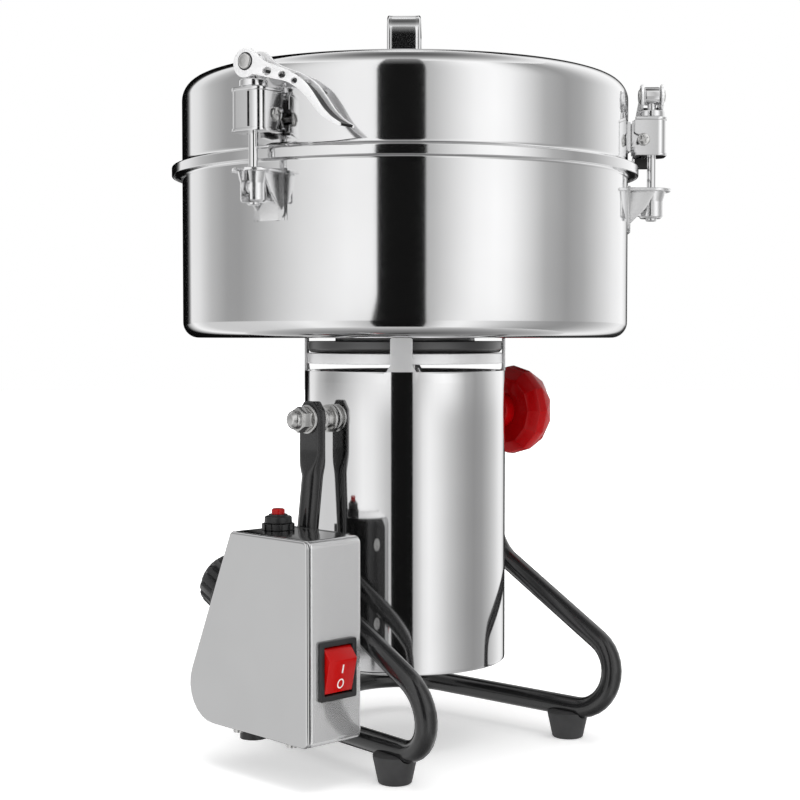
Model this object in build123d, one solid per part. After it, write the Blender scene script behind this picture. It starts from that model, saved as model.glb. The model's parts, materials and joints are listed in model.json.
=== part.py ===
from build123d import *
import os
from math import sin, cos, tan, acos, radians, sqrt

os.makedirs("parts", exist_ok=True)

# Swing-type high-speed grain mill, millimetres, Z up, floor at z = 0.
# The model is drawn about the motor axis (X = Y = 0) and moved at the end, so that
# the row origin is the bottom centre of the bounding box.
SHIFT = (2.87, -12.54)

TILT_Z = 192.0            # tilt axis, parallel to X through the motor axis
R_TUBE = 6.0              # stand tube
R_MOTOR = 59.0            # motor tube
R_BOWL = 129.5            # bowl and lid wall, outside
R_LIP = 135.5
Z_BOWL = 237.4            # bowl floor, underside
Z_LIP = 332.4             # top of the bowl's lip
Z_LID = 333.3             # underside of the lid's flange
Z_TOP = 385.2             # top of the lid
R_SH = 12.0               # shoulder radius of the lid, outside
R_ROD = 143.6             # radius of the latch rods about the motor axis
Z_BALL = 314.5            # ball pivot of a latch
Z_CAM = 377.6             # lever pin of a latch
LATCH_PHI = (193.3, 313.3, 73.3)
TAB_PHI = (44.0, 134.0, 224.0, 314.0)

nodes = {}


def box(x0, x1, y0, y1, z0, z1):
    return Pos((x0 + x1) / 2, (y0 + y1) / 2, (z0 + z1) / 2) * Box(x1 - x0, y1 - y0, z1 - z0)


def cyl(r, z0, z1, x=0.0, y=0.0):
    return Pos(x, y, (z0 + z1) / 2) * Cylinder(r, z1 - z0)


def ring(ro, ri, z0, z1, x=0.0, y=0.0):
    return cyl(ro, z0, z1, x, y) - cyl(ri, z0 - 1, z1 + 1, x, y)


def xcyl(r, x0, x1, y=0.0, z=0.0):
    return Pos((x0 + x1) / 2, y, z) * Rot(0, 90, 0) * Cylinder(r, x1 - x0)


def ycyl(r, y0, y1, x=0.0, z=0.0):
    return Pos(x, (y0 + y1) / 2, z) * Rot(90, 0, 0) * Cylinder(r, y1 - y0)


def curve_face(plane, segs):
    """A face from segments of two points (a line) or three (an arc)."""
    edges = [Line(*s) if len(s) == 2 else ThreePointArc(*s) for s in segs]
    wire = edges[0]
    for e in edges[1:]:
        wire += e
    return plane * make_face(wire)


def turned(segs):
    return revolve(curve_face(Plane.XZ, segs), Axis.Z)


def turned_poly(pts):
    return revolve(Plane.XZ * make_face(Polyline(*pts, close=True)), Axis.Z)


def round_corner(p0, p1, p2, r):
    """Tangent points and middle of the arc that rounds the corner p1."""
    p0, p1, p2 = Vector(*p0), Vector(*p1), Vector(*p2)
    a, b = (p0 - p1).normalized(), (p2 - p1).normalized()
    half = acos(max(-1.0, min(1.0, a.dot(b)))) / 2
    t = r / tan(half)
    bis = (a + b).normalized()
    mid = p1 + bis * (r / sin(half) - r)
    return p1 + a * t, mid, p1 + b * t


def round_path(pts, radii):
    edges, last = [], Vector(*pts[0])
    for i, r in enumerate(radii):
        s, m, e = round_corner(pts[i], pts[i + 1], pts[i + 2], r)
        edges += [Edge.make_line(last, s), Edge.make_three_point_arc(s, m, e)]
        last = e
    edges.append(Edge.make_line(last, Vector(*pts[-1])))
    return Wire(edges)


def pipe(path, r):
    start = path.position_at(0)
    return sweep(Plane(origin=start, z_dir=path.tangent_at(0)) * Circle(r), path=path)


def poly_prism(plane, pts, amount, both=False):
    return extrude(plane * make_face(Polyline(*pts, close=True)), amount=amount, both=both)


def at_phi(part, phi):
    return Rot(0, 0, phi) * part


# ---------------------------------------------------------------- stand
P = [(72, 0, 160), (78.5, 0, 106), (78, -156, 18.5), (61, 68, 18.5),
     (-61, 68, 18.5), (-78, -156, 18.5), (-78.5, 0, 106), (-72, 0, 160)]
stand_path = round_path(P, [25, 22, 38, 38, 22, 25])
tube_outer = pipe(stand_path, R_TUBE)
tube_inner = pipe(stand_path, R_TUBE - 1.5)
tube_void = pipe(stand_path, R_TUBE + 0.02)

FOOT_X = 78 - 17 * (156 - 66) / 224.0
FEET = [(FOOT_X, -66.0), (-FOOT_X, -66.0), (0.0, 68.0)]

stand = tube_outer - tube_inner
for s in (1, -1):
    d = Vector(s * 6.5, 0, -54).normalized()
    low = Plane(origin=(s * 72, 0, 160), x_dir=(0, 1, 0), z_dir=-d) * Circle(R_TUBE)
    high = Plane(origin=(s * 72, 0, 174), x_dir=(0, 1, 0), z_dir=(0, 0, 1)) * RectangleRounded(16.5, 6, 1.2)
    neck = loft([low.face(), high.face()])
    lug = Pos(s * 72, 0, 188) * Box(6, 16.5, 28)
    lug = chamfer(lug.edges().filter_by(Axis.X).group_by(Axis.Z)[-1], 4.5)
    stand = stand + neck + lug
    stand = stand - xcyl(4.1, s * 72 - 5, s * 72 + 5, 0, TILT_Z)
for (fx, fy) in FEET:
    stand = stand - cyl(2.6, 10, 18, fx, fy)
nodes["stand_frame"] = stand

feet, foot_screws = [], []
for (fx, fy) in FEET:
    cone = Pos(fx, fy, 7.5) * Cone(9, 12, 15)
    cone = cone - tube_void - cyl(5.6, -1, 4, fx, fy) - cyl(2.7, 3, 16, fx, fy)
    feet.append(cone.solids().sort_by(SortBy.VOLUME)[-1])
    head = cyl(4.6, 1.2, 4, fx, fy) + cyl(2.5, 4, 19, fx, fy)
    head = head - (Pos(fx, fy, 1.5) * Box(7, 1.2, 1.4)) - (Pos(fx, fy, 1.5) * Box(1.2, 7, 1.4))
    foot_screws.append(head)
nodes["rubber_feet"] = feet
nodes["foot_screws"] = foot_screws

# bracket plate welded to the left upright, carries the control box
plate = poly_prism(Plane.YZ.offset(-87), [(-50, 60), (-50, 128), (-45, 133), (5, 133), (10, 128), (10, 60)], 2.4)
saddle = box(-87, -74, -10, 10, 110, 130)
bracket = (plate + saddle) - tube_void
bracket = bracket - xcyl(2.1, -90, -80, -38, 118) - xcyl(2.1, -90, -80, -38, 72) - xcyl(2.1, -90, -80, -2, 72)
nodes["box_bracket"] = bracket.solids().sort_by(SortBy.VOLUME)[-1]

# ---------------------------------------------------------------- control box
SL = 38.0 / 85.0                       # run of the slanted panel per drop
N = Vector(0, 0.9129, 0.4081)          # its outward normal
DOWN = Vector(0, 0.4081, -0.9129)      # down the slope
CORNER = (7 + 108 * SL, 25.0)


def box_outline(off):
    """The box's outline in YZ, inset by off."""
    k = off
    top, bot, front = 133 - k, 25 + k, -57 + k
    # the slanted line moved in by k along its normal
    y_at = lambda z: 7 + (133 - z) * SL - k / 0.9129
    a, m, b = round_corner((y_at(top), top, 0), (y_at(bot), bot, 0), (front, bot, 0), 20 - k)
    ft, rt = 4.0, 3.0
    r0 = max(0.6, ft - k)
    r1 = max(0.6, rt - k)
    c1 = round_corner((front, bot, 0), (front, top, 0), (y_at(top), top, 0), r0)
    c2 = round_corner((front, top, 0), (y_at(top), top, 0), (y_at(bot), bot, 0), r1)
    c3 = round_corner((y_at(bot), bot, 0), (front, bot, 0), (front, top, 0), r0)
    t = lambda v: (v.X, v.Y)
    return [
        (t(c3[0]), t(c3[1]), t(c3[2])), (t(c3[2]), t(c1[0])),
        (t(c1[0]), t(c1[1]), t(c1[2])), (t(c1[2]), t(c2[0])),
        (t(c2[0]), t(c2[1]), t(c2[2])), (t(c2[2]), t(a)),
        (t(a), t(m), t(b)), (t(b), t(c3[0])),
    ]


def box_prism(off, x0, x1):
    return extrude(curve_face(Plane.YZ.offset(x0), box_outline(off)), amount=x1 - x0)


KNOB = Vector(-106, 7 + (133 - 96) * SL, 96)      # timer knob centre on the panel
PLATE = Vector(-106, 7 + (133 - 67.5) * SL, 67.5)
SW_Y, SW_Z, SW_X = -54.5, 64.5, -105.0            # rocker pivot
BR_X, BR_Y = -101.0, -5.0                         # breaker
GL_X, GL_Y = -98.5, 20.0                         # inlet gland


def on_panel(c):
    return Plane(origin=c, x_dir=(1, 0, 0), z_dir=(N.X, N.Y, N.Z))


shell = box_prism(0, -123.4, -87.1) - box_prism(1.5, -124.4, -88.6)
shell = shell - box(SW_X - 11.2, SW_X + 11.2, -60, -54, SW_Z - 14.2, SW_Z + 14.2)
shell = shell - cyl(6.1, 128, 136, BR_X, BR_Y)
shell = shell - on_panel(KNOB) * Cylinder(5.1, 8)
shell = shell - cyl(7.5, 20, 30, GL_X, GL_Y)
screw_spots_bottom = [(-121.0, -40.0), (-121.0, 5.0)]
for (sx, sy) in screw_spots_bottom:
    shell = shell - cyl(1.6, 20, 30, sx, sy)
bracket_holes = [(-38, 118), (-38, 72), (-2, 72)]
for (by, bz) in bracket_holes:
    shell = shell - xcyl(2.1, -92, -86, by, bz)
for k in (-0.5, 0.5):
    shell = shell - (on_panel(PLATE) * Pos(k * 24, 0, 0) * Cylinder(1.3, 8))
nodes["box_shell"] = shell

cover = box_prism(0, -125, -123.5)
lip = box_prism(1.7, -123.6, -119.6) - box_prism(2.9, -124.6, -118.0)
cover = cover + lip
for (sx, sy) in screw_spots_bottom:
    cover = cover - cyl(1.3, 20, 30, sx, sy)
nodes["box_side_cover"] = cover

bscrews = []
for (sx, sy) in screw_spots_bottom:
    s = cyl(2.8, 23.2, 25, sx, sy) + cyl(1.25, 25, 30.5, sx, sy)
    bscrews.append(s - (Pos(sx, sy, 23.2) * Box(4, 0.8, 1.2)) - (Pos(sx, sy, 23.2) * Box(0.8, 4, 1.2)))
for (by, bz) in bracket_holes:
    s = xcyl(3.6, -84.55, -82.2, by, bz) + xcyl(2.0, -91.5, -84.55, by, bz)
    nut = xcyl(3.6, -91.2, -88.65, by, bz)
    s = s + nut
    bscrews.append(s - (Pos(-82.2, by, bz) * Box(1.6, 5, 1.0)) - (Pos(-82.2, by, bz) * Box(1.6, 1.0, 5)))
nodes["box_screws"] = bscrews

# rocker switch
bez = box(SW_X - 12.75, SW_X + 12.75, -59.2, -57.0, SW_Z - 15.75, SW_Z + 15.75)
bez = fillet(bez.edges().filter_by(Axis.Y), 1.5)
body = box(SW_X - 11, SW_X + 11, -57.0, -32.0, SW_Z - 14, SW_Z + 14)
house = bez + body
cav = xcyl(12.7, SW_X - 9.7, SW_X + 9.7, SW_Y, SW_Z) + box(SW_X - 9.7, SW_X + 9.7, -62, SW_Y, SW_Z - 12.7, SW_Z + 12.7)
house = house - cav - xcyl(1.6, SW_X - 10.6, SW_X + 10.6, SW_Y, SW_Z)
for tz in (-8, 0, 8):
    house = house + box(SW_X - 3.2, SW_X + 3.2, -32.5, -25.0, SW_Z + tz - 0.4, SW_Z + tz + 0.4)
nodes["switch_housing"] = house

disc = Circle(12.5)
keep = make_face(Polyline((-8.5, 9.2), (-3.8, 0), (-4.6, -11.6), (-4.6, -14), (3, -14), (3, 14), (-8.5, 14), close=True))
rock = extrude(Plane(origin=(SW_X - 9.5, SW_Y, SW_Z), x_dir=(0, 1, 0), z_dir=(1, 0, 0)) * (disc & keep), amount=19)
rock = rock + xcyl(1.5, SW_X - 10.5, SW_X + 10.5, SW_Y, SW_Z)
nodes["switch_rocker"] = rock

# overload breaker with its push-to-reset button
nodes["breaker_body"] = (box(BR_X - 7, BR_X + 7, BR_Y - 13, BR_Y + 10, 105.5, 131.4) + cyl(6, 131.4, 139, BR_X, BR_Y)) \
    - cyl(2.7, 122, 140, BR_X, BR_Y)
collar = ring(9, 6.05, 133.05, 136.5, BR_X, BR_Y)
for a in range(0, 360, 30):
    collar = collar - Pos(BR_X, BR_Y, 135) * Rot(0, 0, a) * Pos(9.2, 0, 0) * Box(1.2, 1.6, 6)
boot = cyl(5.2, 139.05, 141.5, BR_X, BR_Y) + ring(7.6, 6.05, 136.55, 140.4, BR_X, BR_Y) + ring(7.6, 5.0, 139.05, 140.4, BR_X, BR_Y)
boot = boot - cyl(3.75, 138, 143, BR_X, BR_Y)
nodes["breaker_collar"] = [collar, boot.solids().sort_by(SortBy.VOLUME)[-1]]
btn = cyl(3.65, 141.2, 144.6, BR_X, BR_Y)
btn = fillet(btn.edges().group_by(Axis.Z)[-1], 1.0) + cyl(2.5, 124.5, 141.3, BR_X, BR_Y)
nodes["reset_button"] = btn

# mechanical timer
tb = on_panel(KNOB) * (Pos(1.2, 0, -12.6) * Box(26.8, 30, 22) + Pos(0, 0, -0.8) * Cylinder(5, 1.6 + 0.2))
tb = tb - on_panel(KNOB) * (Pos(0, 0, -4) * Cylinder(3.05, 14))
nodes["timer_body"] = tb
kn = Circle(17)
for i in range(18):
    kn = kn - (Rot(0, 0, i * 20) * Pos(17.4, 0) * Circle(1.1))
knob = extrude(kn, amount=14.5)
knob = Pos(0, 0, 1.2) * knob + Pos(0, 0, 1.2) * (Cylinder(17.0, 2.2, align=(Align.CENTER, Align.CENTER, Align.MIN)))
top = Pos(0, 0, 15.7) * Cone(15.2, 13.4, 2.0, align=(Align.CENTER, Align.CENTER, Align.MIN))
ptr = Pos(0, 5.2, 17.7) * Box(2.6, 14, 0.9, align=(Align.CENTER, Align.CENTER, Align.MIN))
shaft = Pos(0, 0, -8.5) * Cylinder(3.0, 10, align=(Align.CENTER, Align.CENTER, Align.MIN))
nodes["timer_knob"] = on_panel(KNOB) * (knob + top + ptr + shaft)
pp = Pos(0, 0, 0.05) * Box(31, 20, 1.5, align=(Align.CENTER, Align.CENTER, Align.MIN))
pp = fillet(pp.edges().filter_by(Axis.Z), 1.5)
for k in (-0.5, 0.5):
    pp = pp + Pos(k * 24, 0, -4.5) * Cylinder(1.25, 4.7, align=(Align.CENTER, Align.CENTER, Align.MIN))
    pp = pp + Pos(k * 24, 0, 1.4) * Cylinder(2.2, 0.7, align=(Align.CENTER, Align.CENTER, Align.MIN))
nodes["panel_plate"] = on_panel(PLATE) * pp

# cable gland
gl = extrude(Plane.XY.offset(19.5) * Pos(GL_X, GL_Y) * RegularPolygon(9, 6), amount=5.45) + cyl(7.4, 24.9, 34, GL_X, GL_Y) \
    + extrude(Plane.XY.offset(26.55) * Pos(GL_X, GL_Y) * RegularPolygon(9, 6), amount=4) + cyl(7.8, 13.5, 19.55, GL_X, GL_Y)
nodes["inlet_gland"] = gl - cyl(3.6, 8, 35, GL_X, GL_Y)

# ---------------------------------------------------------------- tilting mill, fixed pieces
mt = ring(R_MOTOR, R_MOTOR - 1.5, 49, 237.35)
keep = box(-70, 70, -70, 70, 40, 218.4)
for a in TAB_PHI:
    tab = poly_prism(Plane.YZ, [(-8.5, 214.4), (-8.5, 218.4), (-6.25, 222), (-6.25, 240), (6.25, 240), (6.25, 222), (8.5, 218.4), (8.5, 214.4)], 70)
    keep = keep + at_phi(tab, a)
mt = mt & keep
mt = mt + ring(58, 54.5, 49, 50.2)
for s in (1, -1):
    mt = mt - xcyl(4.05, s * 59 - 6, s * 59 + 6, 0, TILT_Z)
for a in TAB_PHI:
    mt = mt - at_phi(xcyl(1.75, 50, 70, 0, 226.0), a)
nodes["motor_housing"] = mt.solids().sort_by(SortBy.VOLUME)[-1]

bell = turned_poly([(14.05, 222.5), (57.4, 222.5), (57.4, 228.5), (50, 228.5), (50, 224), (24, 224), (24, 235), (9, 235), (9, 231), (14.05, 231)])
for a in range(0, 360, 45):
    bell = bell + (Rot(0, 0, a + 22.5) * box(22, 51, -3.0, 3.0, 223.2, 227.6))
for a in TAB_PHI:
    bell = bell - at_phi(xcyl(1.75, 48, 60, 0, 226.0), a)
nodes["end_bell"] = bell
nodes["hub_pad"] = turned_poly([(24.1, 229), (55.5, 229), (57.3, 231), (57.3, 235.4), (41, 235.4), (41, 237.3), (24.1, 237.3)])

tabs = []
for a in TAB_PHI:
    tabs.append(at_phi(xcyl(1.72, 48.5, 58.8, 0, 226.0), a))
nodes["tab_rivets"] = tabs

bc = cyl(57.4, 50.3, 53.3) + cyl(19, 50.3, 66)
for i in range(24):
    bc = bc - (Rot(0, 0, i * 15) * Pos(39, 0, 52) * Box(24, 3.0, 6))
bc = bc - cyl(13.05, 54.5, 67) - cyl(8, 49, 60)
nodes["bottom_cover"] = bc

nodes["stator_core"] = ring(57.45, 34, 112, 164) - sum((Rot(0, 0, a) * Pos(40, 0, 138) * Box(10, 34, 60) for a in (90, 270)), Part())
coils = []
for a in (90, 270):
    c = Rot(0, 0, a) * (Pos(40, 0, 138) * Box(9.4, 33, 76))
    c = c - cyl(34.2, 90, 190)
    coils.append(c.solids().sort_by(SortBy.VOLUME)[-1])
nodes["stator_coils"] = coils
nodes["bearings"] = [ring(14, 6.04, 222.6, 230.95), ring(13, 5.04, 54.55, 62.5)]
br = []
for s in (1, -1):
    b = box(s * 15.0 if s > 0 else -52, 52 if s > 0 else -15.0, -5.5, 5.5, 76, 88)
    lug2 = box(46 if s > 0 else -57.4, 57.4 if s > 0 else -46, -9, 9, 78, 86)
    b = (b + lug2) & cyl(57.4, 70, 95)
    br.append(b)
nodes["brush_holders"] = br

# bowl: pressed pan with a flared lip
nodes["bowl"] = turned([
    ((17, Z_BOWL), (R_BOWL - 9, Z_BOWL)),
    ((R_BOWL - 9, Z_BOWL), (R_BOWL - 9 + 9 * sin(radians(45)), Z_BOWL + 9 - 9 * cos(radians(45))), (R_BOWL, Z_BOWL + 9)),
    ((R_BOWL, Z_BOWL + 9), (R_BOWL, 328.6)),
    ((R_BOWL, 328.6), (R_BOWL + 0.5, 329.9), (R_BOWL + 1.8, 330.4)),
    ((R_BOWL + 1.8, 330.4), (133.9, 330.4)),
    ((133.9, 330.4), (133.9, Z_LIP)),
    ((133.9, Z_LIP), (R_BOWL - 2, Z_LIP)),
    ((R_BOWL - 2, Z_LIP), (R_BOWL - 2, Z_BOWL + 9.4)),
    ((R_BOWL - 2, Z_BOWL + 9.4), (R_BOWL - 9 + 7 * sin(radians(45)), Z_BOWL + 9.4 - 7 * cos(radians(45))), (R_BOWL - 9, Z_BOWL + 2.4)),
    ((R_BOWL - 9, Z_BOWL + 2.4), (17, Z_BOWL + 2.4)),
    ((17, Z_BOWL + 2.4), (17, Z_BOWL)),
])
bowl = nodes["bowl"]
BSC = [Rot(0, 0, a) * Pos(33, 0, 0) for a in (0, 90, 180, 270)]
for loc in BSC:
    bowl = bowl - loc * cyl(2.1, 230, 245)
nodes["bowl"] = bowl
hub_pad, endb = nodes["hub_pad"], nodes["end_bell"]
for loc in BSC:
    hub_pad = hub_pad - loc * cyl(2.1, 225, 240)
    endb = endb - loc * cyl(1.9, 221, 240)
nodes["hub_pad"], nodes["end_bell"] = hub_pad, endb
nodes["bowl_screws"] = [loc * (cyl(3.8, Z_BOWL + 2.45, Z_BOWL + 5.2) + cyl(1.85, 224, Z_BOWL + 2.5)
                               - extrude(Plane.XY.offset(Z_BOWL + 3.6) * RegularPolygon(1.9, 6), amount=4)) for loc in BSC]
nodes["hub_seal"] = turned_poly([(7.0, 231.2), (16.8, 231.2), (16.8, Z_BOWL + 2.5), (24, Z_BOWL + 2.5), (24, Z_BOWL + 5), (15, Z_BOWL + 8.5), (12, Z_BOWL + 14), (7.0, Z_BOWL + 14)]) - cyl(8.95, 230, 231.1)
nodes["hub_seal"] = nodes["hub_seal"] & cyl(30, 235.05, 260)

# latch keepers, welded on the bowl wall
keepers, rivets = [], []
for phi in LATCH_PHI:
    back = (ring(R_BOWL + 1.55, R_BOWL + 0.03, 298, 325) & box(120, 140, -9.75, 9.75, 290, 330))
    shelf = box(R_BOWL + 1.2, R_ROD, -11.5, 11.5, 322, 323.6) + cyl(11.5, 322, 323.6, R_ROD, 0)
    shelf = shelf - cyl(R_BOWL + 0.05, 320, 326)
    cup = cyl(7.0, 307.6, 316.5, R_ROD, 0) + Pos(R_ROD, 0, 319.25) * Cone(7.0, 8.6, 5.5) + \
        Pos(R_ROD, 0, 307.1) * Cone(6.3, 7.0, 1.0) + cyl(3.2, 305.2, 307.0, R_ROD, 0)
    gus = None
    for s in (1, -1):
        g = poly_prism(Plane.XZ.offset(-s * 8.4 if s > 0 else 8.4), [(R_BOWL + 0.8, 322.2), (R_ROD + 2, 322.2), (R_ROD - 4, 312), (R_BOWL + 0.8, 303)], 1.6)
        gus = g if gus is None else gus + g
    k = back + shelf + cup + (gus - cyl(R_BOWL + 0.05, 290, 330)) + (box(R_BOWL + 0.8, R_ROD - 5, -3, 3, 308, 316) - cyl(R_BOWL + 0.05, 290, 330))
    k = k - Pos(R_ROD, 0, Z_BALL) * Sphere(4.6) - ycyl(2.1, -6.3, 6.3, R_ROD, Z_BALL)
    k = k - cyl(2.8, Z_BALL, 330, R_ROD, 0)
    k = k - box(R_ROD, R_ROD + 20, -2.8, 2.8, 306.6, 330)
    keepers.append(at_phi(k.solids().sort_by(SortBy.VOLUME)[-1], phi))
nodes["latch_keepers"] = keepers

# tilt axis hardware: bolt and nut on the left, stud on the right
nodes["pivot_bolt"] = xcyl(4.0, -87.5, -52.2, 0, TILT_Z) + \
    extrude(Plane(origin=(-56.85, 0, TILT_Z), x_dir=(0, 1, 0), z_dir=(1, 0, 0)) * RegularPolygon(8, 6), amount=4.65)
nodes["pivot_washers"] = [
    (xcyl(8.0, -61.2, -59.15, 0, TILT_Z) + xcyl(5.6, -66.2, -61.2, 0, TILT_Z) + xcyl(8.0, -68.95, -66.2, 0, TILT_Z)) - xcyl(4.02, -70, -58, 0, TILT_Z),
    xcyl(8.2, -76.7, -75.05, 0, TILT_Z) - xcyl(4.02, -78, -74, 0, TILT_Z),
    (xcyl(8.0, 59.15, 61.2, 0, TILT_Z) + xcyl(5.6, 61.2, 66.2, 0, TILT_Z) + xcyl(8.0, 66.2, 68.95, 0, TILT_Z)) - xcyl(4.02, 58, 70, 0, TILT_Z),
    xcyl(8.2, 75.05, 76.45, 0, TILT_Z) - xcyl(4.02, 70, 80, 0, TILT_Z),
]
nutb = extrude(Plane(origin=(-83.2, 0, TILT_Z), x_dir=(0, 1, 0), z_dir=(1, 0, 0)) * RegularPolygon(7.4, 6), amount=6.4)
nutb = nutb - xcyl(4.02, -95, -70, 0, TILT_Z)
nodes["pivot_nut"] = nutb + (xcyl(5.4, -88.8, -83.2, 0, TILT_Z) - xcyl(4.02, -88.0, -70, 0, TILT_Z))
nodes["pivot_stud"] = xcyl(4.0, 52.2, 104, 0, TILT_Z) + \
    extrude(Plane(origin=(52.2, 0, TILT_Z), x_dir=(0, 1, 0), z_dir=(1, 0, 0)) * RegularPolygon(8, 6), amount=4.65)

# ---------------------------------------------------------------- rotor
nodes["motor_shaft"] = cyl(5.0, 53.8, 66) + cyl(6.0, 66, 292) + cyl(4.9, 292, 306) - Pos(0, 0, 306.2) * Cylinder(1.6, 4)
arm = cyl(33.4, 114, 162) - cyl(6.02, 110, 170)
for i in range(16):
    arm = arm - (Rot(0, 0, i * 22.5) * Pos(31.5, 0, 138) * Box(5, 2.2, 60))
nodes["armature_core"] = arm
nodes["armature_winding"] = [ring(28.5, 6.05, 162.05, 176), ring(28.5, 6.05, 99.5, 113.95)]
com = cyl(14.6, 74, 90) - cyl(6.02, 70, 96)
for i in range(24):
    com = com - (Rot(0, 0, i * 15) * Pos(14.8, 0, 82) * Box(1.6, 0.5, 20))
nodes["commutator"] = com
fan = cyl(14, 198, 206) + cyl(48, 206, 207.6)
for i in range(12):
    fan = fan + (Rot(0, 0, i * 30) * Pos(32, 0, 211) * Rot(0, 0, 25) * Box(26, 1.6, 7.4))
nodes["cooling_fan"] = fan - cyl(6.02, 190, 220)


def blade(length, width, z, a, bend):
    """A bar blade, its ends ground to a slanted cutting edge and turned up or down."""
    h = length / 2
    t = 2.4
    pts = [(-h, z), (-h * 0.55, z), (h * 0.55, z), (h, z)]
    flat = box(-h * 0.62, h * 0.62, -width / 2, width / 2, z, z + t)
    out = flat
    for s in (1, -1):
        ends = poly_prism(Plane.XZ.offset(-width / 2), [
            (s * h * 0.6, z), (s * h * 0.62, z), (s * h, z + bend), (s * h, z + bend + t), (s * h * 0.62, z + t), (s * h * 0.6, z + t)], width)
        cut = Pos(s * h, s * (-width * 0.62), z) * Rot(0, 0, s * 0 + 28) * Box(60, width * 0.5, 60)
        out = out + (ends - cut)
    out = out - cyl(6.02, z - 2, z + 6)
    return Rot(0, 0, a) * out


blades = [blade(204, 20, 258, 20, -6.0), blade(196, 20, 270, 80, 0.01), blade(188, 20, 282, 140, 7.0)]
nodes["grinding_blades"] = [b.solids().sort_by(SortBy.VOLUME)[-1] for b in blades]
nodes["blade_spacers"] = [ring(12, 6.02, 252.0, 257.95), ring(12, 6.02, 260.45, 269.95), ring(12, 6.02, 272.45, 281.95), ring(12, 5.0, 284.45, 286.5) - cyl(6.02, 280, 290)]
nut = extrude(Plane.XY.offset(292.1) * RegularPolygon(9.2, 6), amount=9)
nodes["blade_nut"] = nut + ring(12, 5.0, 286.55, 292.05) - cyl(6.02, 280, 292.02) - cyl(4.92, 285, 310)

# ---------------------------------------------------------------- lid
lid = turned([
    ((0, Z_TOP - 2), (R_BOWL - R_SH, Z_TOP - 2)),
    ((R_BOWL - R_SH, Z_TOP - 2), (R_BOWL - R_SH + (R_SH - 2) * sin(radians(45)), Z_TOP - R_SH + (R_SH - 2) * cos(radians(45))), (R_BOWL - 2, Z_TOP - R_SH)),
    ((R_BOWL - 2, Z_TOP - R_SH), (R_BOWL - 2, Z_LID)),
    ((R_BOWL - 2, Z_LID), (134.3, Z_LID)),
    ((134.3, Z_LID), (134.3, 330.0)),
    ((134.3, 330.0), (134.9, 329.7), (R_LIP, 330.2)),
    ((R_LIP, 330.2), (R_LIP, Z_LID + 1.2)),
    ((R_LIP, Z_LID + 1.2), (R_LIP - 0.4, Z_LID + 1.9), (R_LIP - 1.2, Z_LID + 2.2)),
    ((R_LIP - 1.2, Z_LID + 2.2), (R_BOWL + 1.2, Z_LID + 3.5), (R_BOWL, Z_LID + 6.4)),
    ((R_BOWL, Z_LID + 6.4), (R_BOWL, Z_TOP - R_SH)),
    ((R_BOWL, Z_TOP - R_SH), (R_BOWL - R_SH + R_SH * sin(radians(45)), Z_TOP - R_SH + R_SH * cos(radians(45))), (R_BOWL - R_SH, Z_TOP)),
    ((R_BOWL - R_SH, Z_TOP), (0, Z_TOP)),
    ((0, Z_TOP), (0, Z_TOP - 2)),
])
HSC = [Rot(0, 0, 45) * Pos(s * 48.6, 0, 0) for s in (1, -1)]
for loc in HSC:
    lid = lid - loc * cyl(2.3, 376, 395)
nodes["lid_shell"] = lid
nodes["lid_gasket"] = turned_poly([(124.6, 331.6), (127.45, 331.6), (127.45, 332.45), (133.5, 332.45), (133.5, 333.25), (124.6, 333.25)])

HP = [(-54.5, 386.5), (-40, 386.5), (-38.5, 418.8), (38.5, 418.8), (40, 386.5), (54.5, 386.5)]
hpath = FilletPolyline(*HP, radius=[4, 12, 12, 4])
sec = Plane(origin=(-54.5, 386.5, 0), x_dir=(0, 0, 1), z_dir=(1, 0, 0)) * Rectangle(19, 2.5)
strap = sweep(sec, path=hpath)
strap = Rot(0, 0, 45) * (Rot(90, 0, 0) * strap)
for loc in HSC:
    strap = strap - loc * cyl(2.3, 376, 395)
nodes["lid_handle"] = strap
nodes["handle_screws"] = [loc * ((Pos(0, 0, 389.4) * Cone(4.1, 2.6, 3.2) + cyl(2.2, 381.0, 387.9)
                                  + cyl(4.0, 380.2, 383.15)) - (Pos(0, 0, 390.9) * Box(5, 0.9, 1.6)) - (Pos(0, 0, 390.9) * Box(0.9, 5, 1.6))) for loc in HSC]

# latch seats: a folded U bracket on the lid wall, with a cross pin the latch sleeve hooks over
seats, pins = [], []
PIN_U, PIN_Z, PIN_R = 138.1, 351.5, 1.75
for phi in LATCH_PHI:
    ears = None
    for s in (1, -1):
        e = poly_prism(Plane.XZ, [(R_BOWL - 1, 346), (R_BOWL - 1, 361), (136.5, 361), (140.2, 357), (140.2, 348.5), (137.5, 346)], 1.5)
        y0 = 5.4 + 1.5 if s > 0 else -5.4
        e = Pos(0, y0, 0) * e
        ears = e if ears is None else ears + e
    base = box(R_BOWL - 3, R_BOWL + 1.5, -6.9, 6.9, 345, 362)
    u = (ears + base) - cyl(R_BOWL + 0.03, 330, 370)
    u = u - ycyl(PIN_R + 0.03, -12, 12, PIN_U, PIN_Z)
    seats.append(at_phi(u.solids().sort_by(SortBy.VOLUME)[-1], phi))
    p = ycyl(PIN_R, -11.2, 11.2, PIN_U, PIN_Z) + ycyl(3.7, 10.4, 12.4, PIN_U, PIN_Z) + ycyl(3.7, -12.4, -10.4, PIN_U, PIN_Z)
    for s in (1, -1):
        p = p - (Pos(PIN_U, s * 12.4, PIN_Z) * Box(4.8, 1.4, 0.9)) - (Pos(PIN_U, s * 12.4, PIN_Z) * Box(0.9, 1.4, 4.8))
    pins.append(at_phi(p, phi))
nodes["latch_seats"] = seats
nodes["seat_pins"] = pins

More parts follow.
